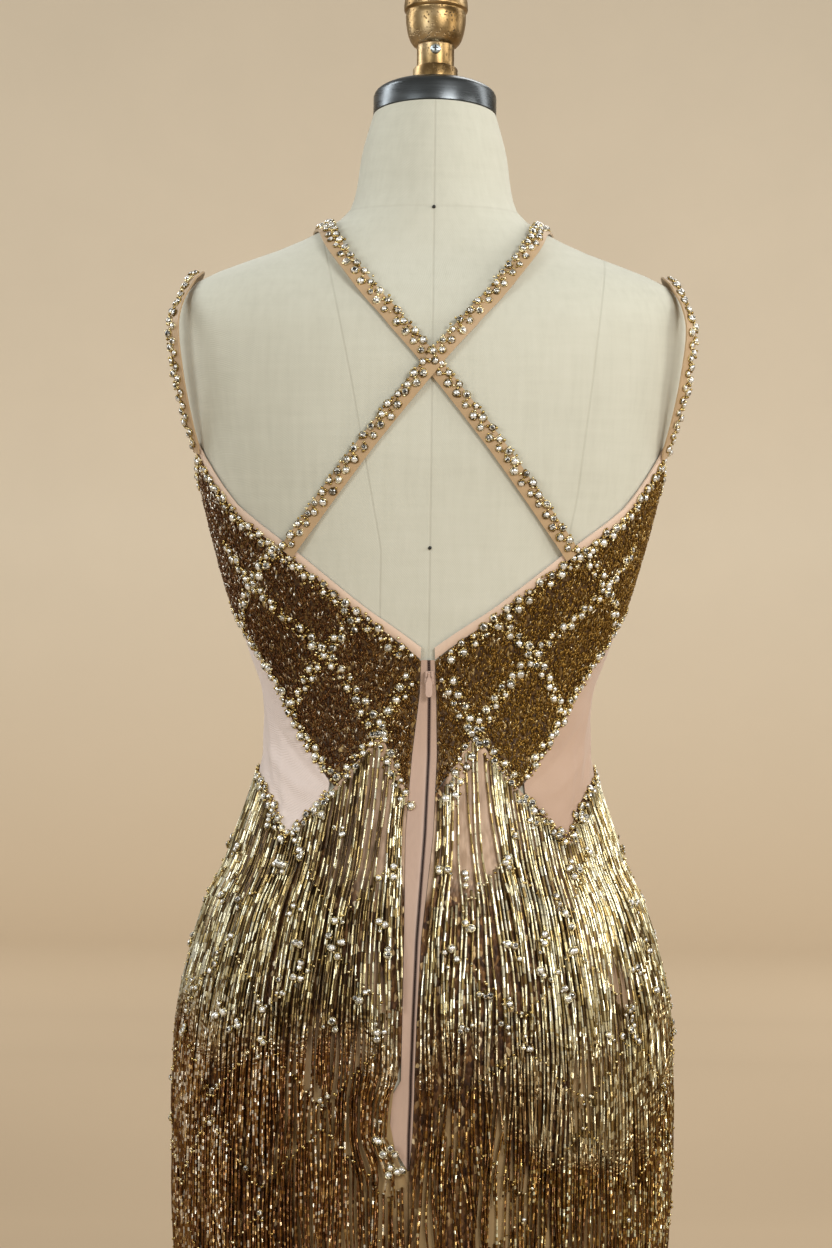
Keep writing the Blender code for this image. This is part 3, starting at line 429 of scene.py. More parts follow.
class Finish:
    """One material: constants go on the shader's own sockets, and what changes over the piece is linked."""

    def __init__(self, name, **constants):
        self.material = bpy.data.materials.new(name)
        self.material.use_nodes = True
        self.tree = self.material.node_tree
        self.shader = self.tree.nodes["Principled BSDF"]
        for word, value in constants.items():
            self.shader.inputs[self.socket(word)].default_value = value
        self.place = self.node("ShaderNodeTexCoord", output="Object")

    @staticmethod
    def socket(word):
        """The name on the shader of a socket: base_color is Base Color."""
        return word.replace("_", " ").title().replace("Ior", "IOR")

    def node(self, kind, settings=None, inputs=None, output=0):
        """Adds a node: its settings first, then the values or links of its sockets."""
        made = self.tree.nodes.new(kind)
        for word, value in (settings or {}).items():
            if word == "stops":
                self.set_stops(made.color_ramp, value)
            else:
                setattr(made, word, value)
        pairs = inputs.items() if isinstance(inputs, dict) else enumerate(inputs or [])
        for socket, value in pairs:
            if isinstance(value, Socket):
                self.tree.links.new(value.link, made.inputs[socket])
            else:
                made.inputs[socket].default_value = value
        return Socket(self, made.outputs[output])

    @staticmethod
    def set_stops(ramp, stops):
        """Stops of a colour ramp, each a place from 0 to 1 and a colour."""
        while len(ramp.elements) < len(stops):
            ramp.elements.new(1.0)
        for element, (position, colour) in zip(ramp.elements, stops):
            element.position = position
            element.color = (*colour, 1)

    def feed(self, **sockets):
        """Links values to the shader's sockets and gives back the finished material."""
        for word, value in sockets.items():
            self.tree.links.new(value.link, self.shader.inputs[self.socket(word)])
        return self.material

    def stretched(self, scale):
        """Object coordinates made larger or smaller along each axis."""
        return self.node("ShaderNodeMapping", None, {"Vector": self.place, "Scale": scale})

    def noise(self, scale, detail=3.0, vector=None, rough=0.5):
        """Clouds, mostly between 0.3 and 0.7, so many of them to the metre."""
        inputs = {"Vector": vector or self.place, "Scale": scale, "Detail": detail, "Roughness": rough}
        return self.node("ShaderNodeTexNoise", None, inputs)

    def cells(self, scale, vector=None, output="Distance"):
        """Distance from the middle of the nearest cell, in cells, or that cell's random colour."""
        inputs = {"Vector": vector or self.place, "Scale": scale}
        return self.node("ShaderNodeTexVoronoi", None, inputs, output)

    def ramp(self, value, *stops):
        """A colour for a value, straight between the stops."""
        return self.node("ShaderNodeValToRGB", {"stops": stops}, {"Fac": value})

    def mix(self, factor, first, second, blend="MIX"):
        """The first colour where the factor is 0 and the second where it is 1, or another blend."""
        settings = {"data_type": "RGBA", "blend_type": blend}
        first, second = [(*c, 1) if isinstance(c, tuple) else c for c in (first, second)]
        return self.node("ShaderNodeMix", settings, {0: factor, 6: first, 7: second}, 2)

    def bump(self, height, distance, strength):
        """A normal tipped by the slope of a height, whose 1 stands for a distance in metres."""
        inputs = {"Height": height, "Distance": distance, "Strength": strength}
        return self.node("ShaderNodeBump", None, inputs)

    def attribute(self, name):
        """A number that each point of the piece holds."""
        return self.node("ShaderNodeAttribute", {"attribute_name": name}, output="Fac")

    def axis(self, number, vector=None):
        """One coordinate of the object's place, or of another vector."""
        return self.node("ShaderNodeSeparateXYZ", None, [vector or self.place], number)

    def combine(self, x, y, z):
        """A vector from three numbers."""
        return self.node("ShaderNodeCombineXYZ", None, [x, y, z])

    def dice(self, vector, output="Value"):
        """A random value or colour for each whole-number place."""
        return self.node("ShaderNodeTexWhiteNoise", {"noise_dimensions": "3D"}, {"Vector": vector}, output)

    def vector(self, operation, inputs):
        """Vector Math on a list of vectors, or on a vector and a scale given by name."""
        return self.node("ShaderNodeVectorMath", {"operation": operation}, inputs)

    def tilted_normal(self, dice, amount):
        """The surface normal tipped by a random colour, a little differently for each bead."""
        normal = self.node("ShaderNodeNewGeometry", output="Normal")
        centred = self.vector("SUBTRACT", [dice, (0.5, 0.5, 0.5)])
        scaled = self.vector("SCALE", {"Vector": centred, "Scale": amount})
        return self.vector("NORMALIZE", [self.vector("ADD", [normal, scaled])])


def weave(finish, pitch):
    """Height of a plain weave: a product of two rows of ridges, one up the cloth and one round it."""
    coordinate = finish.stretched((1 / pitch, 1 / pitch, 1 / pitch))
    up = finish.axis(2, coordinate).math("SINE")
    round_body = (finish.axis(0, coordinate) + finish.axis(1, coordinate)).math("SINE")
    return up * round_body


def linen():
    """Fine cream linen with its seams and the fold where the neck is sewn on, both darkened with painted
    shade in their grooves.
    """
    finish = Finish("linen_cover", roughness=0.92, sheen_weight=0.2, sheen_roughness=0.5,
                    specular_ior_level=0.25)
    slubs = finish.noise(190, 4, finish.stretched((1, 1, 0.1)), 0.6)
    rows = finish.noise(190, 4, finish.stretched((0.1, 0.1, 1)), 0.6)
    cloud = finish.noise(5, 4)
    tone = slubs * 0.3 + rows * 0.2 + cloud * 0.5
    colour = finish.ramp(
        tone, (0.36, (0.55, 0.545, 0.455)), (0.5, (0.60, 0.595, 0.50)), (0.66, (0.64, 0.635, 0.54)),
    )
    distance = finish.attribute("seam_0").math("ABSOLUTE")
    for number in (1, 2):
        distance = distance.math("MINIMUM", finish.attribute(f"seam_{number}").math("ABSOLUTE"))
    neck = (finish.axis(2) - NECK_SEAM).math("ABSOLUTE").between(1.5 * MM, 0.3 * MM)
    seam = distance.between(1.1 * MM, 0.25 * MM).math("MAXIMUM", neck * 0.5)
    # Painted shade: the linen darkens along the seams and the neck's fold, where they sink in
    colour = finish.mix(seam * 0.24, colour, (0.34, 0.32, 0.25))
    height = slubs * 0.2 + rows * 0.15 + weave(finish, 0.25 * MM) * 0.1 - seam * 0.6
    return finish.feed(base_color=colour, normal=finish.bump(height, 0.5 * MM, 0.6))


def string_beads():
    """Bead strings. Each bead is a cell along its string, with its own tone and tilt: long pale bugles over
    the hips, partly their own colour and partly a painted highlight of the light from above on the hips'
    upward slope, and small dark seed beads lower down, a few of them near white as painted glints. A bead's
    tone is chance, its string's own tone and a cloud, with painted light right of the middle and painted
    shade on the wearer's left over the hips, and the line between pale and dark sways with the place."""
    finish = Finish("string_beads", metallic=0.65, specular_ior_level=0.5)
    along = finish.attribute("along")
    string = finish.attribute("string")
    side = finish.axis(0)
    # The pale zone over the hips is partly the bugles' own colour and partly painted highlight; its lower
    # edge comes lower right of the middle and higher on the wearer's left
    pale_lower = side.between(-0.035, -0.09) * side.between(-0.20, -0.14) * 0.055
    pale_higher = side.between(0.04, 0.07) * 0.012
    drift = (finish.noise(9, 3) - 0.5) * 0.20 + pale_lower
    upper = (finish.axis(2) + drift - pale_higher).between(0.80, 0.865)
    length = 2.6 * MM + upper * (5.0 * MM)
    number = along / length + string * 91
    cell = number.math("FLOOR")
    key = finish.combine(cell, (string * 977).math("FLOOR"), 3.0)
    chance = finish.dice(key)
    tilt = finish.dice(key, "Color")
    # Painted light right of the middle and painted shade on the wearer's left, added to the pale zone's tone,
    # as the key light is on the wearer's right
    light = side.between(-0.01, -0.035) * side.between(-0.15, -0.11) * 0.11
    light = light - side.between(0.02, 0.05) * side.between(0.145, 0.115) * 0.13
    shade = chance * 0.56 + string * 0.32 + finish.noise(30, 3).between(0.3, 0.7) * 0.12
    low_shade = shade + side.math("ABSOLUTE").between(0.10, 0.16) * 0.08 + 0.02
    pale = finish.ramp(
        shade + light, (0.0, (0.05, 0.03, 0.010)), (0.30, (0.15, 0.09, 0.028)),
        (0.44, (0.46, 0.34, 0.13)), (0.57, (0.88, 0.80, 0.52)), (0.80, (1.0, 0.97, 0.80)),
    )
    # The top stops make a few of the dark beads near white: painted glints
    dark = finish.ramp(
        low_shade, (0.0, (0.047, 0.017, 0.006)), (0.45, (0.155, 0.063, 0.014)), (0.66, (0.28, 0.142, 0.031)),
        (0.77, (0.53, 0.36, 0.14)), (0.87, (1.0, 0.96, 0.82)),
    )
    right = side.between(0.06, -0.08)
    pale = finish.mix(right, pale, (1.0, 0.97, 0.88), "MULTIPLY")
    dark = finish.mix(1.0, dark, finish.mix(right, (1.0, 0.90, 0.83), (1.0, 1.0, 0.80)), "MULTIPLY")
    colour = finish.mix(upper, dark, pale)
    end = (number.math("FRACT") - 0.5).math("ABSOLUTE").between(0.40, 0.5)
    colour = finish.mix(end * 0.7, colour, (0.04, 0.02, 0.006))
    rough = 0.30 - chance * 0.12
    amount = 0.8 - upper * 0.45
    return finish.feed(base_color=colour, roughness=rough, normal=finish.tilted_normal(tilt, amount))


def bodice_beads():
    """Short bugle beads laid close: deep brown on the wearer's left and olive gold on the right, a difference
    that is partly the beads' own and partly painted shade on the left, away from the key light. Each bead's
    tone is by chance, a few of them are bright, and more are bright in a patch of painted glints high on the
    wearer's left."""
    finish = Finish("bodice_beads", metallic=0.6, specular_ior_level=0.3)
    # Painted glints: more bright beads in a patch high on the wearer's left
    painted_glints = finish.axis(0).between(0.07, 0.11) * finish.axis(2).between(1.12, 1.18)
    chance = finish.attribute("bead") + painted_glints * 0.09
    # Olive on the lit right and brown on the wearer's left: partly the beads' own colour, partly painted
    # shade on the left
    lit_olive_side = finish.axis(0).between(0.06, -0.06)
    brown = finish.ramp(
        chance, (0.0, (0.048, 0.016, 0.005)), (0.6, (0.130, 0.053, 0.014)), (0.90, (0.23, 0.11, 0.032)),
        (0.965, (0.60, 0.48, 0.32)), (1.0, (1.0, 0.95, 0.84)),
    )
    olive = finish.ramp(
        chance, (0.0, (0.090, 0.039, 0.006)), (0.6, (0.22, 0.115, 0.017)), (0.92, (0.37, 0.21, 0.040)),
        (0.98, (0.62, 0.46, 0.2)), (1.0, (1.0, 0.9, 0.66)),
    )
    return finish.feed(base_color=finish.mix(lit_olive_side, brown, olive), roughness=0.40 - chance * 0.2)


def beaded_net():
    """Ground of the bodice under its beads: a dark net, itself covered with the tiniest beads."""
    finish = Finish("beaded_net", metallic=0.4)
    place = finish.stretched((1, 1, 0.45))
    cell = finish.cells(620, place)
    value = finish.axis(0, finish.cells(620, place, "Color"))
    colour = finish.ramp(
        value, (0.0, (0.035, 0.015, 0.005)), (0.7, (0.12, 0.06, 0.014)), (0.92, (0.25, 0.15, 0.04)),
        (1.0, (0.5, 0.36, 0.15)),
    )
    height = finish.bump(0.6 - cell, 0.7 * MM, 0.9)
    return finish.feed(base_color=colour, roughness=cell * 0.4 + 0.3, normal=height)


def lining():
    """Net that carries the strings: dark under them, which is painted shade under and between the strings,
    strewn with seed beads, one to a cell, and bare in long windows where they part. A window is where a
    stretched cloud is high, and more often near the middle."""
    finish = Finish("gold_lining", roughness=0.5)
    place = finish.stretched((1, 1, 0.5))
    seed = finish.cells(430, place)
    seed_tone = finish.axis(0, finish.cells(430, place, "Color"))
    threads = finish.noise(240, 2, finish.stretched((1, 1, 0.03)))
    window = finish.noise(17, 2, finish.stretched((1, 1, 0.22)), 0.4)
    middle = finish.axis(0).math("ABSOLUTE").between(0.10, 0.03) * 0.06
    right = finish.axis(0).between(0.0, -0.12) * 0.03
    window = (window + middle + right).between(0.545, 0.575) * finish.axis(2).between(0.42, 0.60)
    beside = finish.axis(0).math("ABSOLUTE")
    parted = beside.between(0.014, 0.024) * beside.between(0.060, 0.046) * finish.axis(2).between(0.925, 0.95)
    window = window.math("MAXIMUM", parted)
    high = finish.axis(2).between(0.78, 0.90)
    nude = finish.ramp(threads, (0.35, (0.40, 0.26, 0.16)), (0.62, (0.60, 0.42, 0.29)))
    # Painted shade: the dark, seed-beaded ground stands for the shade that falls under and between the
    # strings
    deep = finish.ramp(
        seed_tone * 0.8 + threads * 0.2, (0.1, (0.035, 0.013, 0.004)), (0.55, (0.105, 0.043, 0.012)),
        (0.78, (0.21, 0.10, 0.029)), (0.88, (0.57, 0.41, 0.20)), (0.93, (1.0, 0.90, 0.69)),
    )
    bare = finish.mix(high, (0.36, 0.24, 0.105), nude)
    colour = finish.mix(window, deep, bare)
    height = threads * 0.5 - seed * (1 - window)
    relief = finish.bump(height, 0.7 * MM, 0.8)
    return finish.feed(base_color=colour, metallic=0.55 - window * 0.55, normal=relief)


def nude_net():
    """Plain net at the sides, warm on the side in the light and cool in the shade, with soft clouds."""
    finish = Finish("nude_net", roughness=0.78, sheen_weight=0.35, specular_ior_level=0.3)
    mesh = weave(finish, 0.22 * MM)
    cloud = finish.noise(9, 3)
    side = finish.axis(0).between(-0.05, 0.08)
    warm = finish.ramp(cloud, (0.35, (0.50, 0.34, 0.245)), (0.65, (0.58, 0.41, 0.305)))
    cool = finish.ramp(cloud, (0.35, (0.68, 0.575, 0.53)), (0.65, (0.78, 0.67, 0.62)))
    colour = finish.mix(side, warm, cool)
    return finish.feed(base_color=colour, normal=finish.bump(mesh, 0.15 * MM, 0.6))


def nude_satin(name, colour, sheen, slot=False):
    """Smooth ribbed cloth or paint in one colour with clouds, and with painted shade that darkens it towards
    the zip's slot if it has one.
    """
    finish = Finish(name, roughness=0.5, sheen_weight=sheen, specular_ior_level=0.4)
    ribs = finish.noise(420, 2, finish.stretched((1, 1, 0.2)))
    cloud = finish.noise(20, 3)
    dark = tuple(c * 0.78 for c in colour)
    tone = finish.mix(ribs * 0.5 + cloud * 0.5, dark, colour)
    if slot:
        # Painted shade in the zip's slot: the tape goes nearly black near it
        tone = finish.mix(finish.attribute("slot").between(1.5 * MM, 0.5 * MM), tone, (0.07, 0.035, 0.025))
    return finish.feed(base_color=tone, normal=finish.bump(ribs, 0.25 * MM, 0.5))


def crystal():
    """Clear cut stones: every facet gets a painted tone of its own, from nearly black to white, as painted
    reflections and glints of a clear stone.
    """
    finish = Finish("crystal", metallic=0.55, roughness=0.06, coat_weight=1.0, coat_roughness=0.02)
    normal = finish.node("ShaderNodeNewGeometry", output="True Normal")
    number = finish.attribute("bead") * 83
    steps = finish.vector("SCALE", {"Vector": normal, "Scale": 4.0})
    moved = finish.vector("ADD", [steps, finish.combine(number, number, number)])
    facet = finish.dice(finish.vector("FLOOR", [moved]))
    # Painted reflections: each facet's tone, dark to white, stands for what it reflects and refracts
    colour = finish.ramp(
        facet, (0.0, (0.02, 0.017, 0.012)), (0.20, (0.10, 0.09, 0.07)), (0.34, (0.42, 0.40, 0.35)),
        (0.5, (0.86, 0.85, 0.80)), (0.8, (1.0, 1.0, 0.97)),
    )
    return finish.feed(base_color=colour)


def gold(name, rough):
    """Gold metal from deep to pale: each bead's number sets its tone and its shine."""
    finish = Finish(name, metallic=1.0)
    chance = finish.attribute("bead")
    colour = finish.ramp(
        chance, (0.0, (0.26, 0.16, 0.04)), (0.6, (0.62, 0.47, 0.18)), (1.0, (0.95, 0.86, 0.58)),
    )
    return finish.feed(base_color=colour, roughness=chance * 0.12 + rough)


def brushed_steel(name, dark, light, axis_scale, base_rough=0.2):
    """Steel with fine scratches, as long as the scale makes them, and soft bands of tone."""
    finish = Finish(name, metallic=1.0)
    scratches = finish.noise(300, 4, finish.stretched(axis_scale), 0.7)
    smudge = finish.noise(18, 3)
    colour = finish.mix(scratches * 0.7 + smudge * 0.3, dark, light)
    rough = scratches * 0.25 + smudge * 0.12 + base_rough
    return finish.feed(base_color=colour, roughness=rough, normal=finish.bump(scratches, 0.12 * MM, 0.35))


def aged_brass():
    """Worn brass: clouds of tarnish, and pits where a cell's middle lies in a field of pits."""
    finish = Finish("aged_brass")
    pits = finish.cells(520)
    pit_field = finish.noise(90, 5, None, 0.65)
    wear = finish.noise(38, 4)
    pitted = (pits.between(0.36, 0.12) * pit_field.between(0.46, 0.62)).math("MINIMUM", 1.0)
    metal = finish.ramp(
        wear, (0.3, (0.13, 0.075, 0.025)), (0.5, (0.34, 0.225, 0.10)), (0.75, (0.62, 0.48, 0.29)),
    )
    colour = finish.mix(pitted, metal, (0.07, 0.045, 0.02))
    rough = 0.24 + wear * 0.2 + pitted * 0.4
    height = 0.6 - pitted * 0.6 + pit_field * 0.35
    return finish.feed(base_color=colour, metallic=1 - pitted * 0.6, roughness=rough,
                       normal=finish.bump(height, 0.8 * MM, 0.8))


def painted_wall(name, colour):
    """Matt paint with faint clouds, a little darker high up with painted shade, and on the floor warmer and
    darker, the darkening being painted shade, where its tone changes with the distance from the backdrop."""
    finish = Finish(name, roughness=0.95, specular_ior_level=0.1)
    # Painted shade: the wall darkens high up, and below FLOOR_FADE the floor is darker as well as warmer
    tone = finish.noise(2.2, 5, None, 0.6) * 0.4 + finish.axis(2).between(*HIGH_FADE) * 0.6
    dark = tuple(c * HIGH_SHARE for c in colour)
    warm = tuple(c * share for c, share in zip(colour, FLOOR_SHARE))
    stops = [(place, tuple(c * share for c in warm)) for place, share in FLOOR_TONES]
    floor = finish.ramp(finish.axis(1).between(*FLOOR_SPAN), *stops)
    wall = finish.mix(tone, dark, colour)
    return finish.feed(base_color=finish.mix(finish.axis(2).between(*FLOOR_FADE), wall, floor))


LINEN = linen()
STRING_BEADS = string_beads()
BODICE_BEADS = bodice_beads()
BEADED_NET = beaded_net()
LINING = lining()
NUDE_NET = nude_net()
NUDE_BINDING = nude_satin("nude_binding", (0.77, 0.575, 0.44), 0.4)
NUDE_TAPE = nude_satin("nude_zip_tape", (0.56, 0.39, 0.30), 0.2, slot=True)
NUDE_STRAP = nude_satin("nude_strap_net", (0.54, 0.37, 0.205), 0.2)
NUDE_PAINT = nude_satin("nude_zip_paint", (0.62, 0.44, 0.355), 0.0)
CRYSTAL = crystal()
GOLD_BEADS = gold("gold_beads", 0.14)
GOLD_CUPS = gold("gold_cups", 0.2)
CAP_STEEL = brushed_steel("cap_steel", (0.055, 0.062, 0.068), (0.17, 0.185, 0.195), (0.04, 0.04, 1), 0.1)
STAND_STEEL = brushed_steel("stand_steel", (0.06, 0.06, 0.065), (0.2, 0.2, 0.21), (1, 1, 0.05))
SCREW_STEEL = brushed_steel("screw_steel", (0.42, 0.50, 0.53), (0.75, 0.83, 0.86), (1, 1, 1))
AGED_BRASS = aged_brass()
PIN_PAINT = nude_satin("pin_paint", (0.012, 0.012, 0.012), 0.0)
# The coil is real, but its near black is painted shade in the zip's slot
SHADED_COIL_PAINT = nude_satin("zip_coil_painted_shade", (0.045, 0.024, 0.018), 0.0)


# Meshes

# Degrees over which an edge stays sharp: cloth and beads, turned metal, and nothing at all
CLOTH_ANGLE, LATHE_ANGLE, ALL_SMOOTH = 40, 35, 180


def piece(name, points, groups, finish, nodes=(), values=None, angle=None):
    """A finished piece from an array of points and arrays of faces, one array for each number of corners.
    values are numbers for each point, and edges sharper than the angle stay sharp."""
    mesh = bpy.data.meshes.new(name)
    corners = np.concatenate([g.ravel() for g in groups]).astype(np.int32)
    sizes = np.concatenate([np.full(len(g), g.shape[1]) for g in groups])
    mesh.vertices.add(len(points))
    mesh.vertices.foreach_set("co", np.ascontiguousarray(points, np.float32).ravel())
    mesh.loops.add(len(corners))
    mesh.loops.foreach_set("vertex_index", corners)
    mesh.polygons.add(len(sizes))
    starts = np.concatenate([[0], np.cumsum(sizes)[:-1]]).astype(np.int32)
    mesh.polygons.foreach_set("loop_start", starts)
    mesh.update(calc_edges=True)
    mesh.validate()
    for word, numbers in (values or {}).items():
        layer = mesh.attributes.new(word, "FLOAT", "POINT")
        layer.data.foreach_set("value", np.ascontiguousarray(numbers, np.float32).ravel())
    if angle is not None:
        mesh.shade_smooth()
        if angle < ALL_SMOOTH:
            mesh.set_sharp_from_angle(angle=math.radians(angle))
    mesh.materials.append(finish)
    made = bpy.data.objects.new(name, mesh)
    bpy.context.collection.objects.link(made)
    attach(made, "root")
    if nodes:
        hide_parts(*nodes)
    return made


def facing_out(made):
    """Turns a closed piece's faces outwards if its volume comes out negative."""
    mesh = made.data
    mesh.calc_loop_triangles()
    points = np.empty(len(mesh.vertices) * 3, np.float32)
    mesh.vertices.foreach_get("co", points)
    corners = np.empty(len(mesh.loop_triangles) * 3, np.int32)
    mesh.loop_triangles.foreach_get("vertices", corners)
    a, b, c = points.reshape(-1, 3)[corners.reshape(-1, 3)].transpose(1, 0, 2)
    if np.sum(a * np.cross(b, c)) < 0:
        mesh.flip_normals()
    return made


def grid_faces(columns, rows, closed=False):
    """Quads of a grid whose point i, j has number i * rows + j."""
    i = np.arange(columns if closed else columns - 1)
    j = np.arange(rows - 1)
    i, j = np.meshgrid(i, j, indexing="ij")
    k = (i + 1) % columns
    corners = [i * rows + j, i * rows + j + 1, k * rows + j + 1, k * rows + j]
    return np.stack(corners, axis=-1).reshape(-1, 4)


def two_skins(name, skins, finish, nodes, values=None):
    """A closed wall from two grids of points, inner and outer, joined by quads round their rim. It
    remembers the size of its cut."""
    columns, rows = skins.shape[1:3]
    face = grid_faces(columns, rows)
    count = columns * rows
    rim = np.concatenate([
        np.arange(columns) * rows, (columns - 1) * rows + np.arange(1, rows),
        np.arange(columns - 2, -1, -1) * rows + rows - 1, np.arange(rows - 2, 0, -1),
    ])
    after = np.roll(rim, -1)
    wall = np.stack([rim, after, after + count, rim + count], axis=-1)
    groups = [face, face[:, ::-1] + count, wall]
    made = piece(name, skins.reshape(-1, 3), groups, finish, nodes, values, CLOTH_ANGLE)
    made["cut"] = cut_of(skins.mean(axis=0))
    return facing_out(made)


def shell(name, grid, inner, thick, finish, nodes=(), relief=0.0, values=None):
    """A cloth wall on a grid of angles and heights: two skins on the body's surface. relief moves both."""
    skins = np.stack([surface(*grid, inner + relief), surface(*grid, inner + thick + relief)])
    values = {word: np.tile(numbers.ravel(), 2) for word, numbers in (values or {}).items()}
    return two_skins(name, skins, finish, nodes, values)


def cut_of(points):
    """Greatest width and length of a cloth and its area, measured on its middle layer. A quad's area is
    half the cross product of its diagonals."""
    across = np.linalg.norm(np.diff(points, axis=0), axis=-1)
    along = np.linalg.norm(np.diff(points, axis=1), axis=-1)
    one = points[1:, 1:] - points[:-1, :-1]
    two = points[1:, :-1] - points[:-1, 1:]
    area = 0.5 * np.linalg.norm(np.cross(one, two), axis=-1).sum()
    return float(across.sum(axis=0).max()), float(along.sum(axis=1).max()), float(area)


def cloth(made, with_pieces=()):
    """Takes off a piece the cut that it remembers, the size of its own middle layer because it isn't
    stretched, and does nothing more with it.
    """
    width, length, area = made["cut"]
    del made["cut"]
    width = max(width, NARROWEST_CUT)
    min(area, width * length)


def lathe(name, profile, sides, place, finish, nodes, lean):
    """A profile of radius and height, in mm, turned round the Z axis and then leant about X. Its first
    and last points are the middles of two fans that close it."""
    profile = np.array(profile) * MM
    turn = np.arange(sides) * 2 * math.pi / sides
    ring = np.stack([np.cos(turn), np.sin(turn)], axis=-1)
    body = profile[1:-1]
    level = np.broadcast_to(body[None, :, 1:], (sides, len(body), 1))
    points = np.concatenate([ring[:, None, :] * body[None, :, :1], level], axis=-1)
    points = np.concatenate([points.reshape(-1, 3), [[0, 0, profile[0, 1]], [0, 0, profile[-1, 1]]]])
    faces = grid_faces(sides, len(body), closed=True)
    near = np.arange(sides) * len(body)
    far = np.roll(near, -1)
    head, foot = len(points) - 2, len(points) - 1
    caps = np.concatenate([
        np.stack([near, far, np.full(sides, head)], axis=-1),
        np.stack([far + len(body) - 1, near + len(body) - 1, np.full(sides, foot)], axis=-1),
    ])
    turned = points @ np.array(Matrix.Rotation(lean, 3, "X")).T + np.array(place)
    return facing_out(piece(name, turned, [faces, caps], finish, nodes, angle=LATHE_ANGLE))


def copies(template, faces, centres, frames, sizes):
    """Many copies of a small shape: each of its points as a sum of the copy's three axes, times its size,
    plus its centre."""
    points = np.einsum("vk,nkd->nvd", template, frames) * sizes[:, None, None] + centres[:, None, :]
    offset = np.arange(len(centres)) * len(template)
    groups = [(group[None] + offset[:, None, None]).reshape(-1, group.shape[1]) for group in faces]
    return points.reshape(-1, 3), groups


# Small shapes that are repeated: all stand on z = 0 and look along +Z


def ring_of(sides, radius, height, shift=0.0):
    """Points of a regular polygon, turned by a share of its side."""
    turn = np.arange(sides) * 2 * math.pi / sides + shift * 2 * math.pi / sides
    return np.stack([radius * np.cos(turn), radius * np.sin(turn), np.full(sides, height)], axis=-1)


def gem_shape():
    """A cut stone: an eight-sided table over a wider girdle, turned half a side, over a point."""
    points = [ring_of(8, 0.52, 0.86, 0.5), ring_of(8, 0.98, 0.42)]
    k = np.arange(8)
    after = (k + 1) % 8
    facets = np.concatenate([
        np.stack([8 + k, 8 + after, k], axis=-1),
        np.stack([k, 8 + after, after], axis=-1),
        np.stack([np.full(8, 16), 8 + after, 8 + k], axis=-1),
    ])
    return np.concatenate(points + [np.zeros((1, 3))]), [facets, k[None, :]]


def cup_shape():
    """A stone's setting: a low ring, with four claws that lean in over the stone."""
    points = [ring_of(8, 0.98, 0.0), ring_of(8, 1.14, 0.0), ring_of(8, 1.06, 0.38)]
    k = np.arange(8)
    after = (k + 1) % 8
    quads = [np.stack([8 * a + k, 8 * b + k, 8 * b + after, 8 * a + after], axis=-1)
             for a, b in ((0, 1), (1, 2), (2, 0))]
    claws, tips = [], []
    for n in range(4):
        spot = math.pi / 4 + n * math.pi / 2
        spread = 0.2
        base = 24 + 4 * n
        corners = ((1.2, -spread, 0.1), (1.2, spread, 0.1), (0.94, 0.0, 0.15), (0.74, 0.0, 0.78))
        claws += [(r * math.cos(spot + turn), r * math.sin(spot + turn), z) for r, turn, z in corners]
        tips += [(base + a, base + b, base + c) for a, b, c in ((0, 1, 3), (1, 2, 3), (2, 0, 3), (0, 2, 1))]
    return np.concatenate(points + [np.array(claws)]), [np.concatenate(quads), np.array(tips)]


def ball_shape():
    """A bead of twenty faces: two poles and two rings of five."""
    flat, rise = 2 / math.sqrt(5), 1 / math.sqrt(5)
    rings = [ring_of(5, flat, -rise), ring_of(5, flat, rise, 0.5)]
    points = np.concatenate([*rings, [[0, 0, -1], [0, 0, 1]]])
    k = np.arange(5)
    after = (k + 1) % 5
    faces = np.concatenate([
        np.stack([after, k, np.full(5, 10)], axis=-1), np.stack([k, after, k + 5], axis=-1),
        np.stack([after, after + 5, k + 5], axis=-1), np.stack([k + 5, after + 5, np.full(5, 11)], axis=-1),
    ])
    return points, [faces]


def bugle_shape():
    """A short bugle bead along x: a three-sided bar that lies on one side, with its ridge outwards."""
    ends = [[(x, 0.42, 0), (x, -0.42, 0), (x, 0, 0.45)] for x in (-0.88, 0.88)]
    quads = np.array([(0, 2, 5, 3), (1, 4, 5, 2), (0, 3, 4, 1)])
    return np.concatenate(ends), [quads, np.array([(0, 1, 2), (3, 5, 4)])]


GEM, CUP, BALL, BUGLE = gem_shape(), cup_shape(), ball_shape(), bugle_shape()


def frames_on(across, up, outward, turn, lean, rng):
    """Axes of small shapes that lie on the surface, turned in it and tipped a little by chance: the
    first axis is made square to the tipped one, and the third is their cross product."""
    turn = turn[:, None]
    x = across * np.cos(turn) + up * np.sin(turn)
    outward = unit(outward + rng.normal(0, lean, outward.shape))
    x = unit(x - outward * np.sum(x * outward, axis=-1, keepdims=True))
    return np.stack([x, np.cross(outward, x), outward], axis=1)


def set_stones(name, centres, across, up, outward, sizes, slot, rng):
    """Stones in their cups: two pieces, one of crystal and one of gold."""
    turn = rng.uniform(0, math.pi / 2, len(centres))
    axes = frames_on(across, up, outward, turn, 0.16, rng)
    chance = rng.uniform(0, 1, len(centres))
    made = []
    for word, shape, finish in (("stones", GEM, CRYSTAL), ("cups", CUP, GOLD_CUPS)):
        points, groups = copies(*shape, centres, axes, sizes)
        bead = np.repeat(chance, len(shape[0]))
        made.append(piece(f"{name}_{word}", points, groups, finish, values={"bead": bead}))
    return made


def set_beads(name, centres, sizes, rng):
    """Round gold beads, each with its own tone."""
    count = len(centres)
    axes = np.broadcast_to(np.eye(3), (count, 3, 3))
    points, groups = copies(*BALL, centres, axes, sizes)
    bead = np.repeat(rng.uniform(0, 1, count), len(BALL[0]))
    return piece(name, points, groups, GOLD_BEADS, values={"bead": bead}, angle=ALL_SMOOTH)


# The dress form, its cap and its finial


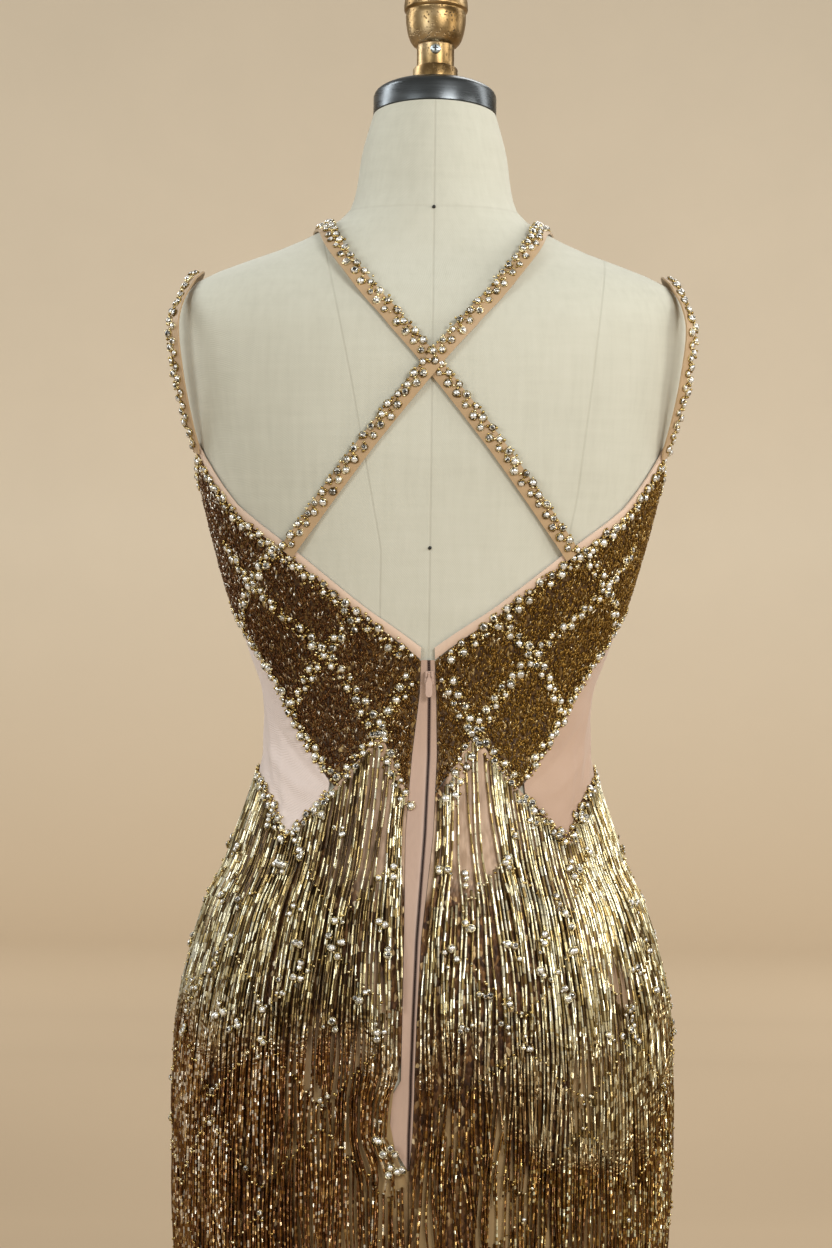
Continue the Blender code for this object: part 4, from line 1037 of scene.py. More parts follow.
def lean_neck(points):
    """The neck's top leans forward: it is lowered in front and raised behind in proportion to y."""
    share = np.clip((points[..., 2] - NECK_LEAN_FROM) / (NECK_TOP - NECK_LEAN_FROM), 0, 1)
    tilt = (points[..., 1] - NECK_SHIFT) * math.tan(math.radians(NECK_LEAN))
    leant = points.copy()
    leant[..., 2] += tilt * share
    return leant


def build_form():
    """The body shape itself, closed at its foot and its neck. Each point holds its distance in x from
    each of the cover's seams."""
    sides, rows = 112, 100
    share = np.linspace(0, 1, rows)
    heights = FORM_FOOT + (NECK_TOP - FORM_FOOT) * share
    angles = np.arange(sides) * 360 / sides
    points = lean_neck(surface(angles[:, None], heights[None, :]))
    flat = points.reshape(-1, 3)
    around = np.arange(sides) * rows
    groups = [grid_faces(sides, rows, True), around[None, ::-1], around[None] + rows - 1]
    values = {}
    for number, line in enumerate(FORM_SEAMS):
        x, z = np.array(line, float).T * MM
        values[f"seam_{number}"] = flat[:, 0] - np.interp(flat[:, 2], z, x)
    facing_out(piece("linen_form", flat, groups, LINEN, ("dress_form",), values, CLOTH_ANGLE))
    pins = surface(0.0, np.array(PIN_HEIGHTS), PIN_RADIUS * 0.3)
    axes = np.broadcast_to(np.eye(3), (len(pins), 3, 3))
    points, groups = copies(*BALL, pins, axes, np.full(len(pins), PIN_RADIUS))
    piece("pin_heads", points, groups, PIN_PAINT, angle=ALL_SMOOTH)


def along_neck(height, forward=0.0):
    """A point on the leaning axis of the neck, a height above its top."""
    lean = math.radians(NECK_LEAN)
    return (0, NECK_SHIFT - math.sin(lean) * height + math.cos(lean) * forward,
            NECK_TOP + math.cos(lean) * height + math.sin(lean) * forward)


def arc(centre, radii, first, last, count):
    """Points of an ellipse's arc, from one angle to another, in degrees above the outward axis."""
    turn = np.radians(np.linspace(first, last, count))
    return [(centre[0] + radii[0] * math.cos(t), centre[1] + radii[1] * math.sin(t)) for t in turn]


def build_cap_and_finial():
    """The cap, the finial on it and the finial's screw, turned round the leaning neck. Each profile is
    given from the top down, as radius and height in mm, with its curves as arcs of ellipses."""
    lean = math.radians(NECK_LEAN)
    band = [
        (0, 27), *arc((0, 15), (45.6, 12), 84, 8, 14), (46, 14.4), (46, 1.0), (45.4, 0.3), (40, 0), (0, 0),
    ]
    lathe("steel_cap", band, 72, along_neck(REST_GAP), CAP_STEEL, ("neck_cap",), lean)
    knob = [
        (0, 86), *arc((0, 57), (24, 29), 86, 0, 22), (24, 55.6), (23.6, 54.6), (22.2, 53.6), (22.0, 52.8),
    ]
    foot = [
        *arc((14, 51), (8.6, 24), 0, -88, 16), (14, 26), (14, 10.8), (14.6, 10.2), (16.4, 9.6), (16.8, 8.6),
        (16.8, 0.6), (16.2, 0), (0, 0),
    ]
    place = along_neck(FINIAL_SEAT)
    lathe("brass_finial", knob + foot, 64, place, AGED_BRASS, ("finial",), lean)
    head = [(0, 2.2), (0.8, 2.2), (2.2, 2.1), (3.2, 1.6), (3.8, 0.8), (4.0, 0.1), (3.9, 0), (0, 0)]
    place = along_neck(FINIAL_SEAT + SCREW_HEIGHT, FINIAL_NECK + REST_GAP)
    lathe("screw_head", head, 24, place, SCREW_STEEL, ("finial_screw",), lean - math.pi / 2)
    build_screw_cross(place, lean)


def build_screw_cross(place, lean):
    """The dark cross cut in the screw's head, as two thin bars sunk level with its face."""
    bars = []
    for size in ((4.4, 1.0), (1.0, 4.4)):
        half = np.array([size[0] / 2, size[1] / 2]) * MM
        for low in (1.9 * MM, 2.35 * MM):
            bars += [(sx * half[0], sy * half[1], low) for sx, sy in ((-1, -1), (1, -1), (1, 1), (-1, 1))]
    points = np.array(bars) @ np.array(Matrix.Rotation(lean - math.pi / 2, 3, "X")).T + np.array(place)
    one = np.array([(0, 3, 2, 1), (4, 5, 6, 7), (0, 1, 5, 4), (1, 2, 6, 5), (2, 3, 7, 6), (3, 0, 4, 7)])
    piece("screw_cross", points, [np.concatenate([one, one + 8])], STAND_STEEL)


# The gown's panels


def columns_of(first, last, step, tables):
    """Angles at even steps and at each corner of the outlines, without the even ones beside a corner."""
    corners = [row[0] for table in tables for row in table if first < row[0] < last]
    even = np.arange(first, last, step)
    clear = [a for a in even if min([abs(a - c) for c in corners] + [9]) > step * 0.4]
    return np.array(sorted({*clear, *corners, first, last}))


def panel_grid(first, last, low, high, rows, step, tables, side=1, zip_edge=False, high_gap=SEAM_GAP):
    """Angles and heights of a panel between two outlines, with a column at each corner of them. Each
    column's heights are even, and gaps of a seam are left square to the outlines."""
    nominal = columns_of(first, last, step, tables)
    bottom = low(nominal) + seam_shift(low, nominal, SEAM_GAP)
    top = high(nominal) - seam_shift(high, nominal, high_gap)
    share = np.linspace(0, 1, rows)
    heights = bottom[:, None] * (1 - share) + top[:, None] * share
    angles = side * np.repeat(nominal[:, None], rows, axis=1)
    if zip_edge:
        angles = follow_zip(angles, heights, side)
    return angles, heights


def across_front(tables):
    """Outlines' corners of the back repeated on the other side of the centre front."""
    return [[(360 - row[0], row[1]) for row in table[::-1]] + list(table) for table in tables]


def binding_foot(angles):
    """Height of the binding's lower edge, its width below the top edge and square to it."""
    return top_edge(angles) - seam_shift(top_edge, angles, BINDING_WIDTH)


# The side seams' distance from the body's middle, and half a seam's gap there, in degrees
SIDE_REACH = 160 * MM
SIDE_SEAM = math.degrees(SEAM_GAP / SIDE_REACH)


def panels(tables):
    """Name, first and last angle, side, whether it meets the zip, and corners of each panel."""
    return (
        ("back_left", CENTRE_BACK, 90 - SIDE_SEAM, 1, True, tables),
        ("back_right", CENTRE_BACK, 90 - SIDE_SEAM, -1, True, tables),
        ("front", 90 + SIDE_SEAM, 270 - SIDE_SEAM, 1, False, across_front(tables)),
    )


# The binding: rows across it, rise of its roll, thickness and ripple
BINDING_ROWS, ROLL_HEIGHT, ROLL_WALL, ROLL_RIPPLE = 9, 0.7 * MM, 1.6 * MM, 0.15 * MM


def build_bodice():
    """Beaded panels and the bound edge above them. The binding is a soft half-round roll: half a sine
    across it, rippled by waves."""
    made = {}
    for word, first, last, side, zip_edge, corners in panels((TOP_EDGE, BODICE_EDGE)):
        cad = "front_bodice" if word == "front" else "back_bodice_" + word[5:]
        bound = "front_binding" if word == "front" else "back_binding_" + word[5:]
        grid = panel_grid(first, last, bodice_edge, binding_foot, 26, 2.0, corners, side, zip_edge)
        body = shell("bodice_" + word, grid, EASE, CLOTH, BEADED_NET, (cad,))
        grid = panel_grid(
            first, last, binding_foot, top_edge, BINDING_ROWS, 2.0, corners[:1], side, zip_edge, 0,
        )
        roll = ROLL_HEIGHT * (np.sin(np.linspace(0, math.pi, BINDING_ROWS)) - 1)
        ripple = ROLL_RIPPLE * waves(grid[0] * 1.4, grid[1] * 90, 5)
        edge_tape = shell("binding_" + word, grid, EASE + ROLL_HEIGHT, ROLL_WALL, NUDE_BINDING,
                          (bound,), roll[None, :] + ripple)
        made[word] = (body, edge_tape)
    return made


def crease(angle, height, start, end, width, depth):
    """A soft ridge along a line from start to end, each an angle and a height: a bell across the line,
    fading in and out along it."""
    ax, az = start[0] * DEGREE_RUN * MM, start[1] * MM
    bx, bz = end[0] * DEGREE_RUN * MM, end[1] * MM
    x, z = np.abs(angle) * DEGREE_RUN * MM, height
    run = math.hypot(bx - ax, bz - az)
    t = ((x - ax) * (bx - ax) + (z - az) * (bz - az)) / run**2
    off = ((x - ax) * (bz - az) - (z - az) * (bx - ax)) / run
    fade = np.clip(t / 0.18, 0, 1) * np.clip((1 - t) / 0.35, 0, 1)
    return depth * MM * np.exp(-0.5 * (off / (width * MM)) ** 2) * fade


# How much deeper than listed the creases are, and the mm round the body in a degree at the nets
CREASE_DEPTH, DEGREE_RUN = 1.5, 2.1
# Creases of the side nets: start angle and height, end angle and height, width and depth, mm
NET_CREASES = (
    (32, 1007, 62, 1085, 2.6, 0.9), (33, 1004, 70, 1062, 2.2, -0.7), (36, 996, 80, 1046, 3.0, 0.9),
    (42, 978, 74, 1030, 2.4, -0.8), (46, 975, 60, 1040, 2.8, 0.8), (52, 985, 88, 1110, 3.2, 0.7),
    (60, 1000, 96, 1060, 3.0, 0.8), (118, 1003, 88, 1090, 2.8, 0.9), (130, 984, 100, 1040, 2.6, -0.7),
    (144, 1004, 112, 1068, 2.4, 0.9), (136, 975, 118, 1030, 3.0, 0.8),
)


def build_side_nets():
    """Nets that fill the cut-outs, with a sum of creases that fades out at their upper and lower edges."""
    made = []
    tables = (BODICE_EDGE, SKIRT_EDGE)
    for side, word in ((1, "left"), (-1, "right")):
        grid = panel_grid(33, 144, skirt_edge, bodice_edge, 32, 1.5, tables, side)
        relief = sum(crease(*grid, c[0:2], c[2:4], c[4], c[5]) for c in NET_CREASES)
        share = np.linspace(0, 1, grid[1].shape[1])
        relief = CREASE_DEPTH * relief * np.minimum(np.minimum(share, 1 - share) / 0.12, 1)[None, :]
        made.append(shell("side_net_cloth_" + word, grid, EASE + 0.4 * MM, NET, NUDE_NET,
                          ("side_net_" + word,), relief))
    return made


# Height from which the skirt's rows are level, and the rows above and below it
SKIRT_LEVEL, UPPER_ROWS, LEVEL_ROWS = 0.90, 10, 42
# Ripple of the skirt: its depth, and the height from which it grows towards the floor
RIPPLE_DEPTH, RIPPLE_TOP = 1.2 * MM, 0.5


def skirt_grid(first, last, corners, side, zip_edge):
    """Angles and heights of a skirt panel: rows that go over from its top edge's outline to a level one,
    and level rows from there down to the hem."""
    nominal = columns_of(first, last, 2.5, corners)
    top = skirt_edge(nominal) - seam_shift(skirt_edge, nominal, SEAM_GAP)
    share = np.linspace(0, 1, UPPER_ROWS + 1)[:-1]
    upper = top[:, None] * (1 - share) + SKIRT_LEVEL * share
    level = np.linspace(SKIRT_LEVEL, HEM_HEIGHT, LEVEL_ROWS)
    heights = np.concatenate([upper, np.repeat(level[None], len(nominal), axis=0)], axis=1)
    angles = side * np.repeat(nominal[:, None], heights.shape[1], axis=1)
    if zip_edge:
        angles = follow_zip(angles, heights, side)
    return angles, heights


def build_skirt():
    """Skirt panels of net, with waves that deepen in proportion to the distance below half a metre."""
    made = []
    for word, first, last, side, zip_edge, corners in panels((SKIRT_EDGE,)):
        angles, heights = skirt_grid(first, last, corners, side, zip_edge)
        low = np.clip((RIPPLE_TOP - heights) / RIPPLE_TOP, 0, 1)
        ripple = RIPPLE_DEPTH * low * waves(angles * 0.33, heights * 14, 8)
        made.append(shell("skirt_lining_" + word, (angles, heights), EASE, CLOTH, LINING,
                          ("skirt_" + word,), ripple))
    return made


# The zip


def repaint(nodes, finish):
    """Gives solids that stay as they are a finish."""
    for node in nodes:
        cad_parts[node].data.materials.clear()
        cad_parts[node].data.materials.append(finish)


# The zip's coil: pitch, place out from the body and size. The tapes' fold: depth and width
COIL_PITCH, COIL_OUT, COIL_BEAD, FOLD_DEPTH, FOLD_WIDTH = 1.5 * MM, 0.75 * MM, 1.3 * MM, 0.8 * MM, 0.7 * MM


def build_zip():
    """Tapes with a folded edge along the slot, the coil behind them, painted near black as shade in the slot,
    and a backing under the seam below.
    The fold sinks towards the slot as an exponential of the distance from it."""
    made = []
    heights = np.concatenate([np.linspace(TAPE_TOP, FLAP_FOOT + FLAP_CORNER, 70), [TAPE_POINT]])
    slot, left, right = zip_line(heights)
    for side, word, width in ((1, "left", left), (-1, "right", right)):
        share = np.linspace(0, 1, 9)[:, None]
        near = slot + side * SLOT_GAP / 2
        level = np.repeat(heights[None, :], 9, axis=0)
        if side > 0:
            width = width.copy()
            width[-1] = zip_line(np.array(FLAP_FOOT))[1]
            level[:, -1] = TAPE_POINT + (FLAP_FOOT - TAPE_POINT) * share[:, 0]
        far = slot + side * width
        x = near * (1 - share) + far * share
        angles = angle_at(x, level, EASE)
        off = np.abs(x - near)
        fold = 0.15 * MM * np.sin(level * 60 + share * 2) - FOLD_DEPTH * np.exp(-off / FOLD_WIDTH)
        made.append(shell("zip_tape_cloth_" + word, (angles, level), EASE, TAPE_CLOTH, NUDE_TAPE,
                          ("zip_tape_" + word,), fold, {"slot": off}))
    z = np.arange(TAPE_POINT, TAPE_TOP, COIL_PITCH)
    angles = angle_at(zip_line(z)[0], z)
    axes = np.stack(directions(angles, z, COIL_OUT), axis=1)
    points, groups = copies(*BUGLE, surface(angles, z, COIL_OUT), axes, np.full(len(z), COIL_BEAD))
    # Its near-black paint is painted shade in the slot
    piece("zip_coil", points, groups, SHADED_COIL_PAINT, angle=CLOTH_ANGLE)
    z = np.linspace(HEM_HEIGHT, TAPE_POINT + 8 * MM, 60)
    x = zip_line(z)[0][None, :] + np.linspace(-3, 3, 4)[:, None] * MM
    level = np.repeat(z[None, :], 4, axis=0)
    made.append(shell("seam_backing", (angle_at(x, level), level), 0.4 * MM, 0.5 * MM, LINING))
    repaint(("zip_slider", "zip_pull"), NUDE_PAINT)
    return made


# Straps


def body_level(points):
    """1 on the body's surface and more outside it, growing in proportion to the distance."""
    half, back, front, shift, square = section(points[:, 2])
    y = points[:, 1] - shift
    cup = bust(points[:, 0], points[:, 2], FORM_BUST) * np.clip(-y / front * BUST_FADE, 0, 1)
    y = np.where(y < 0, y + cup, y)
    depth = np.where(y >= 0, back, front)
    return (np.abs(points[:, 0] / half) ** square + np.abs(y / depth) ** square) ** (1 / square)


def body_distance(points):
    """Distance out from the body and the direction square to it, by central differences."""
    slope = np.empty_like(points)
    for n in range(3):
        move = np.zeros(3)
        move[n] = SLOPE_STEP
        slope[:, n] = (body_level(points + move) - body_level(points - move)) / (2 * SLOPE_STEP)
    steepness = np.linalg.norm(slope, axis=1)
    return (body_level(points) - 1) / steepness, slope / steepness[:, None]


def pushed_clear(points, lift):
    """Points moved out of the body until each is at least its lift away."""
    for _ in range(CLEARING_ROUNDS):
        distance, outward = body_distance(points)
        points = points + outward * np.maximum(lift - distance, 0)[:, None]
    return points


def route(points, samples):
    """Even samples of a smooth curve through the points."""
    knots = np.array(points, float) * MM
    travel = travelled(knots)
    at = np.linspace(0, travel[-1], samples)
    return np.stack([smooth(at, travel, knots[:, n]) for n in range(3)], axis=1)


def edge_lift(line):
    """Lift along a strap: higher at the two ends, where it lies on the bound edge."""
    travel = travelled(line)
    near_end = np.minimum(travel, travel[-1] - travel)
    share = np.clip(STRAP_EDGE_HOLD - near_end / STRAP_EDGE_REACH, 0, 1)
    return STRAP_LIFT + (STRAP_OVER_EDGE - STRAP_LIFT) * share


def strap_frame(line, lift):
    """Two edges of a band along a line, its tangent, and the direction that its face looks in."""
    line = pushed_clear(line, lift)
    tangent = unit(np.gradient(line, axis=0))
    outward = body_distance(line)[1]
    across = unit(np.cross(tangent, outward))
    edges = [pushed_clear(line + across * side * STRAP_WIDTH / 2, lift) for side in (-1, 1)]
    face = unit(np.cross(edges[1] - edges[0], tangent))
    face *= np.sign(np.sum(face * outward, axis=1))[:, None]
    return edges, tangent, face


def build_strap(name, node, line, lift, side, rng):
    """A nude band with a crown of half a sine, two zigzag rows of stones nearer its upper edge, and small
    gold beads between them."""
    edges, tangent, face = strap_frame(line, lift)
    if side < 0:
        edges = edges[::-1]
    share = np.linspace(0, 1, 7)
    middle = edges[0][:, None] * (1 - share)[None, :, None] + edges[1][:, None] * share[None, :, None]
    crown = (STRAP_THICK * (0.72 + 0.28 * np.sin(share * math.pi)))[None, :, None]
    skins = np.stack([middle, middle + face[:, None] * crown])
    band = two_skins(name, skins, NUDE_STRAP, (node,))
    travel = travelled(line)
    at = np.arange(3 * MM, travel[-1] - 2 * MM, STRAP_STEP)
    count = len(at)
    at = at + rng.normal(0, 0.6 * MM, count)
    low, high, normal, forward = [read_off(at, travel, values) for values in (*edges, face, tangent)]
    normal, forward = unit(normal), unit(forward)

    def across(part, out):
        """Places a part of the way over the band, lifted off its face."""
        return low * (1 - part)[:, None] + high * part[:, None] + normal * (STRAP_THICK + out)

    sway = np.where(np.arange(count) % 2 == 0, *STRAP_STONE_ROWS) + rng.normal(0, 0.05, count)
    sizes = STONE_RADIUS * rng.uniform(0.85, 1.15, count)
    axes = (np.cross(normal, forward), forward, normal)
    pieces = set_stones(name, across(sway, -0.1 * MM), *axes, sizes, "stone_band", rng)
    spots = []
    for row in STRAP_BEAD_ROWS:
        spot = across(row + rng.normal(0, 0.09, count), 0.5 * MM)
        spots.append(spot + forward * (STRAP_STEP * 0.5 + rng.normal(0, 0.5 * MM, count))[:, None])
    spots = np.concatenate(spots)
    sizes = GOLD_BEAD_RADIUS * rng.uniform(0.75, 1.15, len(spots))
    pieces.append(set_beads(name + "_beads", spots, sizes, rng))
    return band, pieces


def build_straps(rng):
    """Two straps over the shoulders, and two that cross on the back, one lifted over the other there."""
    made = []
    for side, word in ((1, "left"), (-1, "right")):
        line = route(OUTER_ROUTE, 90) * np.array([side, 1, 1])
        lift = edge_lift(line)
        made.append(build_strap("outer_band_" + word, "outer_strap_" + word, line, lift, side, rng))
    for side, word in ((1, "over"), (-1, "under")):
        line = route(CROSS_ROUTE, 130) * np.array([side, 1, 1])
        lift = edge_lift(line)
        if word == "over":
            near = np.clip(CROSS_OVER_HOLD - np.abs(line[:, 0]) / CROSS_OVER_REACH, 0, 1)
            lift = lift + CROSS_OVER_LIFT * near * (line[:, 1] > 0)
        made.append(build_strap("cross_band_" + word, "cross_strap_" + word, line, lift, side, rng))
    return made


# Beads on the bodice


def build_bodice_beads(rng):
    """Bugle beads strewn over each panel, mostly upright, and denser than they are long: places by
    chance, of which those between the panel's outlines are kept."""
    made = {}
    spans = (("back_left", CENTRE_BACK, 89.8, 1), ("back_right", CENTRE_BACK, 89.8, -1),
             ("front", 90.2, 269.8, 1))
    for word, first, last, side in spans:
        count = BUGLES[word]
        tries = count * 3
        angle = rng.uniform(first, last, tries)
        height = rng.uniform(*BUGLE_HEIGHTS, tries)
        above = height > bodice_edge(angle) + BUGLE_ROOM
        inside = above & (height < top_edge(angle) - BINDING_WIDTH * 1.25)
        angle, height = angle[inside][:count], height[inside][:count]
        placed = side * angle
        if word != "front":
            placed = follow_zip(placed, height, side, SEAM_GAP + BUGLE_ROOM)
        out = OUTSIDE + rng.uniform(-0.1, 0.35, len(angle)) * MM
        across, up, outward = directions(placed, height, out)
        turn = math.pi / 2 + rng.normal(0, 0.5, len(angle))
        axes = frames_on(across, up, outward, turn, 0.22, rng)
        sizes = rng.uniform(1.15, 1.9, len(angle)) * MM
        points, groups = copies(*BUGLE, surface(placed, height, out), axes, sizes)
        bead = np.repeat(rng.uniform(0, 1, len(angle)), len(BUGLE[0]))
        made[word] = piece("bugle_beads_" + word, points, groups, BODICE_BEADS,
                           values={"bead": bead})
    return made


def walk(points, step):
    """Even places along a polyline of angle and height, by its length on the body."""
    points = np.array(points, float)
    share = np.linspace(0, 1, 30)[None, :, None]
    fine = (points[:-1, None] + (points[1:] - points[:-1])[:, None] * share).reshape(-1, 2)
    travel = travelled(surface(fine[:, 0], fine[:, 1], OUTSIDE))
    return read_off(np.arange(step / 2, travel[-1], step), travel, fine)


def beside(outline, angles, shift, side=1):
    """A line along an outline, a distance above it or, if negative, below it."""
    return np.stack([side * angles, outline(angles) + shift], axis=1)


def stone_lines():
    """Lines of stones, as angle and height: the lattice on the back and the front, and all the edges."""
    lines = [[(a - 2.4, 1001 * MM), (a, 999 * MM), (a + 2.6, 1001 * MM)] for a in (32, 146, -32, -146)]
    for side in (1, -1):
        for names in LATTICE_LINES:
            lines.append([(side * LATTICE[n][0], LATTICE[n][1] * MM) for n in names])
        below = BINDING_WIDTH + 3.0 * MM
        above = 3.2 * MM
        net = np.concatenate([[32], np.arange(34, 46, 2), np.arange(46, 134, 2), np.arange(136, 147, 2)])
        lines.append(beside(top_edge, np.arange(5.5, 89, 1.0), -below * 1.15, side))
        lines.append(beside(bodice_edge, np.arange(33, 89, 1.0), above * 1.2, side))
        lines.append(beside(skirt_edge, net, -above, side))
    lines.append(beside(top_edge, np.arange(91, 270, 1.0), -11 * MM))
    for first, last in ((91, 146), (214, 269)):
        lines.append(beside(bodice_edge, np.arange(first, last, 1.0), 4 * MM))
    lines.append(beside(bodice_edge, np.array([146, 163.5, 180, 196.5, 214]), 3 * MM))
    for line in FRONT_LATTICE:
        for mirror in (False, True):
            lines.append([(360 - a if mirror else a, h * MM) for a, h in line])
    return lines


def square_to(spots):
    """For places along a line, the unit vector square to the line, as shares round and up the body."""
    run = np.gradient(surface(spots[:, 0], spots[:, 1], OUTSIDE), axis=0)
    across, up, _ = directions(spots[:, 0], spots[:, 1], OUTSIDE)
    return unit(np.stack([-np.sum(run * up, axis=1), np.sum(run * across, axis=1)], axis=1))


def moved(spots, drift, sway, ahead):
    """Places moved off their line by sway and along it by ahead, in metres. What lies round the body is
    turned into degrees by dividing it by the distance from the middle."""
    radius = np.linalg.norm(surface(spots[:, 0], spots[:, 1])[:, :2], axis=1)
    shift_round = sway * drift[:, 0] + ahead * drift[:, 1]
    shift_up = sway * drift[:, 1] - ahead * drift[:, 0]
    return np.stack([spots[:, 0] + np.degrees(shift_round / radius), spots[:, 1] + shift_up], axis=1)


def build_lattice(rng):
    """Stones that sway from side to side along each line, with gold beads between."""
    stone_spots, bead_spots = [], []
    for line in stone_lines():
        spots = walk(line, ROW_STEP)
        count = len(spots)
        drift = square_to(spots)
        sway = np.where(np.arange(count) % 2 == 0, ROW_SWAY, -ROW_SWAY) + rng.normal(0, 0.5 * MM, count)
        keep = rng.uniform(0, 1, count) > ROW_LOST
        stone_spots.append(moved(spots, drift, sway, rng.normal(0, 0.5 * MM, count))[keep])
        on_back = abs(spots[0, 0]) < 90
        for row in BACK_BEAD_ROWS if on_back else FRONT_BEAD_ROWS:
            jitter = rng.normal(0, 0.6 * MM, count)
            ahead = ROW_STEP / 2 + rng.normal(0, 0.8 * MM, count)
            bead_spots.append(moved(spots, drift, -sway * 0.4 * row + jitter, ahead))
    pieces = []
    spots = np.concatenate(stone_spots)
    out = OUTSIDE + 0.2 * MM
    across, up, outward = directions(spots[:, 0], spots[:, 1], np.full(len(spots), out))
    sizes = STONE_RADIUS * rng.choice([0.72, 0.92, 1.05, 1.2], len(spots), p=[0.15, 0.3, 0.35, 0.2])
    centres = surface(spots[:, 0], spots[:, 1], out)
    pieces += set_stones("lattice", centres, across, up, outward, sizes, "bronze_beads", rng)
    beads = np.concatenate(bead_spots)
    out = OUTSIDE + rng.uniform(0.6, 1.6, len(beads)) * MM
    centres = surface(beads[:, 0], beads[:, 1], out)
    sizes = GOLD_BEAD_RADIUS * rng.uniform(0.7, 1.1, len(beads))
    pieces.append(set_beads("lattice_beads", centres, sizes, rng))
    return pieces


# Bead strings


def heading_line(tier):
    """Height of a tier's zigzag at any angle: the first follows the skirt's top edge, and the others are
    triangle waves, in turn half a period round, that waver a little."""
    mean, rise = STRING_TIERS[tier][:2]
    if mean is None:
        return lambda angle: skirt_edge(angle) - 5 * MM
    period = 360 / ZIGZAGS
    shift = period / 2 * (tier % 2)

    def zigzag(angle):
        """0 to 1 and back in each period, times the rise, round the tier's mean height."""
        part = np.abs(((angle + shift + period / 4) / period) % 1 * 2 - 1)
        return (mean + rise * (2 * part - 1)) * MM + 3 * MM * waves(angle * 0.11, 0, tier + 40)

    return zigzag


def string_paths(tier, rng):
    """Places along each string of a tier, as angle, height and distance out.

    A string hangs straight down the body from its heading. It sways towards its neighbours in bunches,
    and lies over the strings of the tier below.
    """
    length, count = STRING_TIERS[tier][2] * MM, STRING_TIERS[tier][3]
    line = heading_line(tier)
    span = 360 - 2 * CENTRE_BACK
    start = CENTRE_BACK + span * (np.arange(count) + 0.5 + rng.uniform(-0.25, 0.25, count)) / count
    for place, width in PARTINGS if tier == 0 else ():
        off = start - place
        start = start + PARTING_PUSH * off * np.exp(-((off / width) ** 2))
    head = line(start) + rng.normal(0, 1.6 * MM, count)
    share = np.linspace(0, 1, STRING_RINGS if tier < FIRST_LOW_TIER else LOW_STRING_RINGS)[None, :]
    lengths = length * (1 + rng.normal(0, STRING_SPREAD, count).clip(-0.35, 0.35))
    # On the flare a string lies aslant, so it comes less far down
    slope = np.interp(head, [0.1, 0.3, 0.42, 0.5], [0.80, 0.86, 0.95, 1.0])
    foot = np.maximum(head - lengths * slope, STRING_END + rng.uniform(0, 6, count) * MM)
    heights = head[:, None] * (1 - share) + foot[:, None] * share
    radius = np.linalg.norm(surface(start[:, None], heights)[..., :2], axis=-1)
    bunch = 2.6 * MM * waves(start[:, None] * 0.9, heights * 22, tier + 3)
    own = rng.normal(0, 0.9 * MM, count)[:, None] * share**1.5
    wiggle = 0.5 * MM * np.sin(share * 9 + rng.uniform(0, 6, count)[:, None]) * share
    angles = start[:, None] + np.degrees((bunch * share**1.2 + own + wiggle) / radius)
    right = start > 180
    signed = np.where(right[:, None], angles - 360, angles)
    room = 2.0 * MM
    beside_zip = np.where(
        right[:, None], follow_zip(signed, heights, -1, room), follow_zip(signed, heights, 1, room),
    )
    signed = np.where(np.abs(signed) < CENTRE_BACK + CENTRE_FADE, beside_zip, signed)
    lift = (0.2 + 2.3 * share**0.6) * MM + rng.uniform(0, 0.9, count)[:, None] * MM * share
    return signed, heights, OUTSIDE + STRING_RADIUS + lift


def build_strings(tier, rng):
    """Three-sided tubes with a ridge outwards, a little thicker at every other ring, like beads."""
    angles, heights, out = string_paths(tier, rng)
    count, rings = angles.shape
    centre = surface(angles, heights, out)
    tangent = unit(np.gradient(centre, axis=1))
    side = unit(np.cross(tangent, directions(angles, heights, out)[2]))
    outward = np.cross(side, tangent)
    twist = rng.normal(0, 0.45, count)[:, None, None]
    turn = np.arange(3)[None, None, :] * 2 * math.pi / 3 + twist
    swelling = 1 + 0.10 * np.cos(np.arange(rings) * math.pi)
    thick = STRING_RADIUS * rng.uniform(0.85, 1.15, count)[:, None] * swelling
    thick = thick * np.where(np.arange(rings) == rings - 1, 0.55, 1)[None, :]
    ring = (np.cos(turn)[..., None] * outward[:, :, None] + np.sin(turn)[..., None] * side[:, :, None])
    points = centre[:, :, None] + ring * thick[:, :, None, None]
    number = np.arange(count * rings * 3).reshape(count, rings, 3)
    after = np.roll(number, -1, axis=2)
    quads = np.stack([number[:, :-1], number[:, 1:], after[:, 1:], after[:, :-1]], axis=-1)
    ends = np.concatenate([number[:, 0], number[:, -1, ::-1]])
    along = np.repeat(travelled(centre)[:, :, None], 3, axis=2)
    string = np.broadcast_to(rng.uniform(0, 1, count)[:, None, None], along.shape)
    nodes = ("fringe_tier_" + str(CAD_TIERS[tier]),) if tier in CAD_TIERS else ()
    groups = [quads.reshape(-1, 4), ends]
    return piece(f"bead_strings_{tier + 1}", points.reshape(-1, 3), groups, STRING_BEADS,
                 nodes, {"along": along, "string": string}, ALL_SMOOTH)


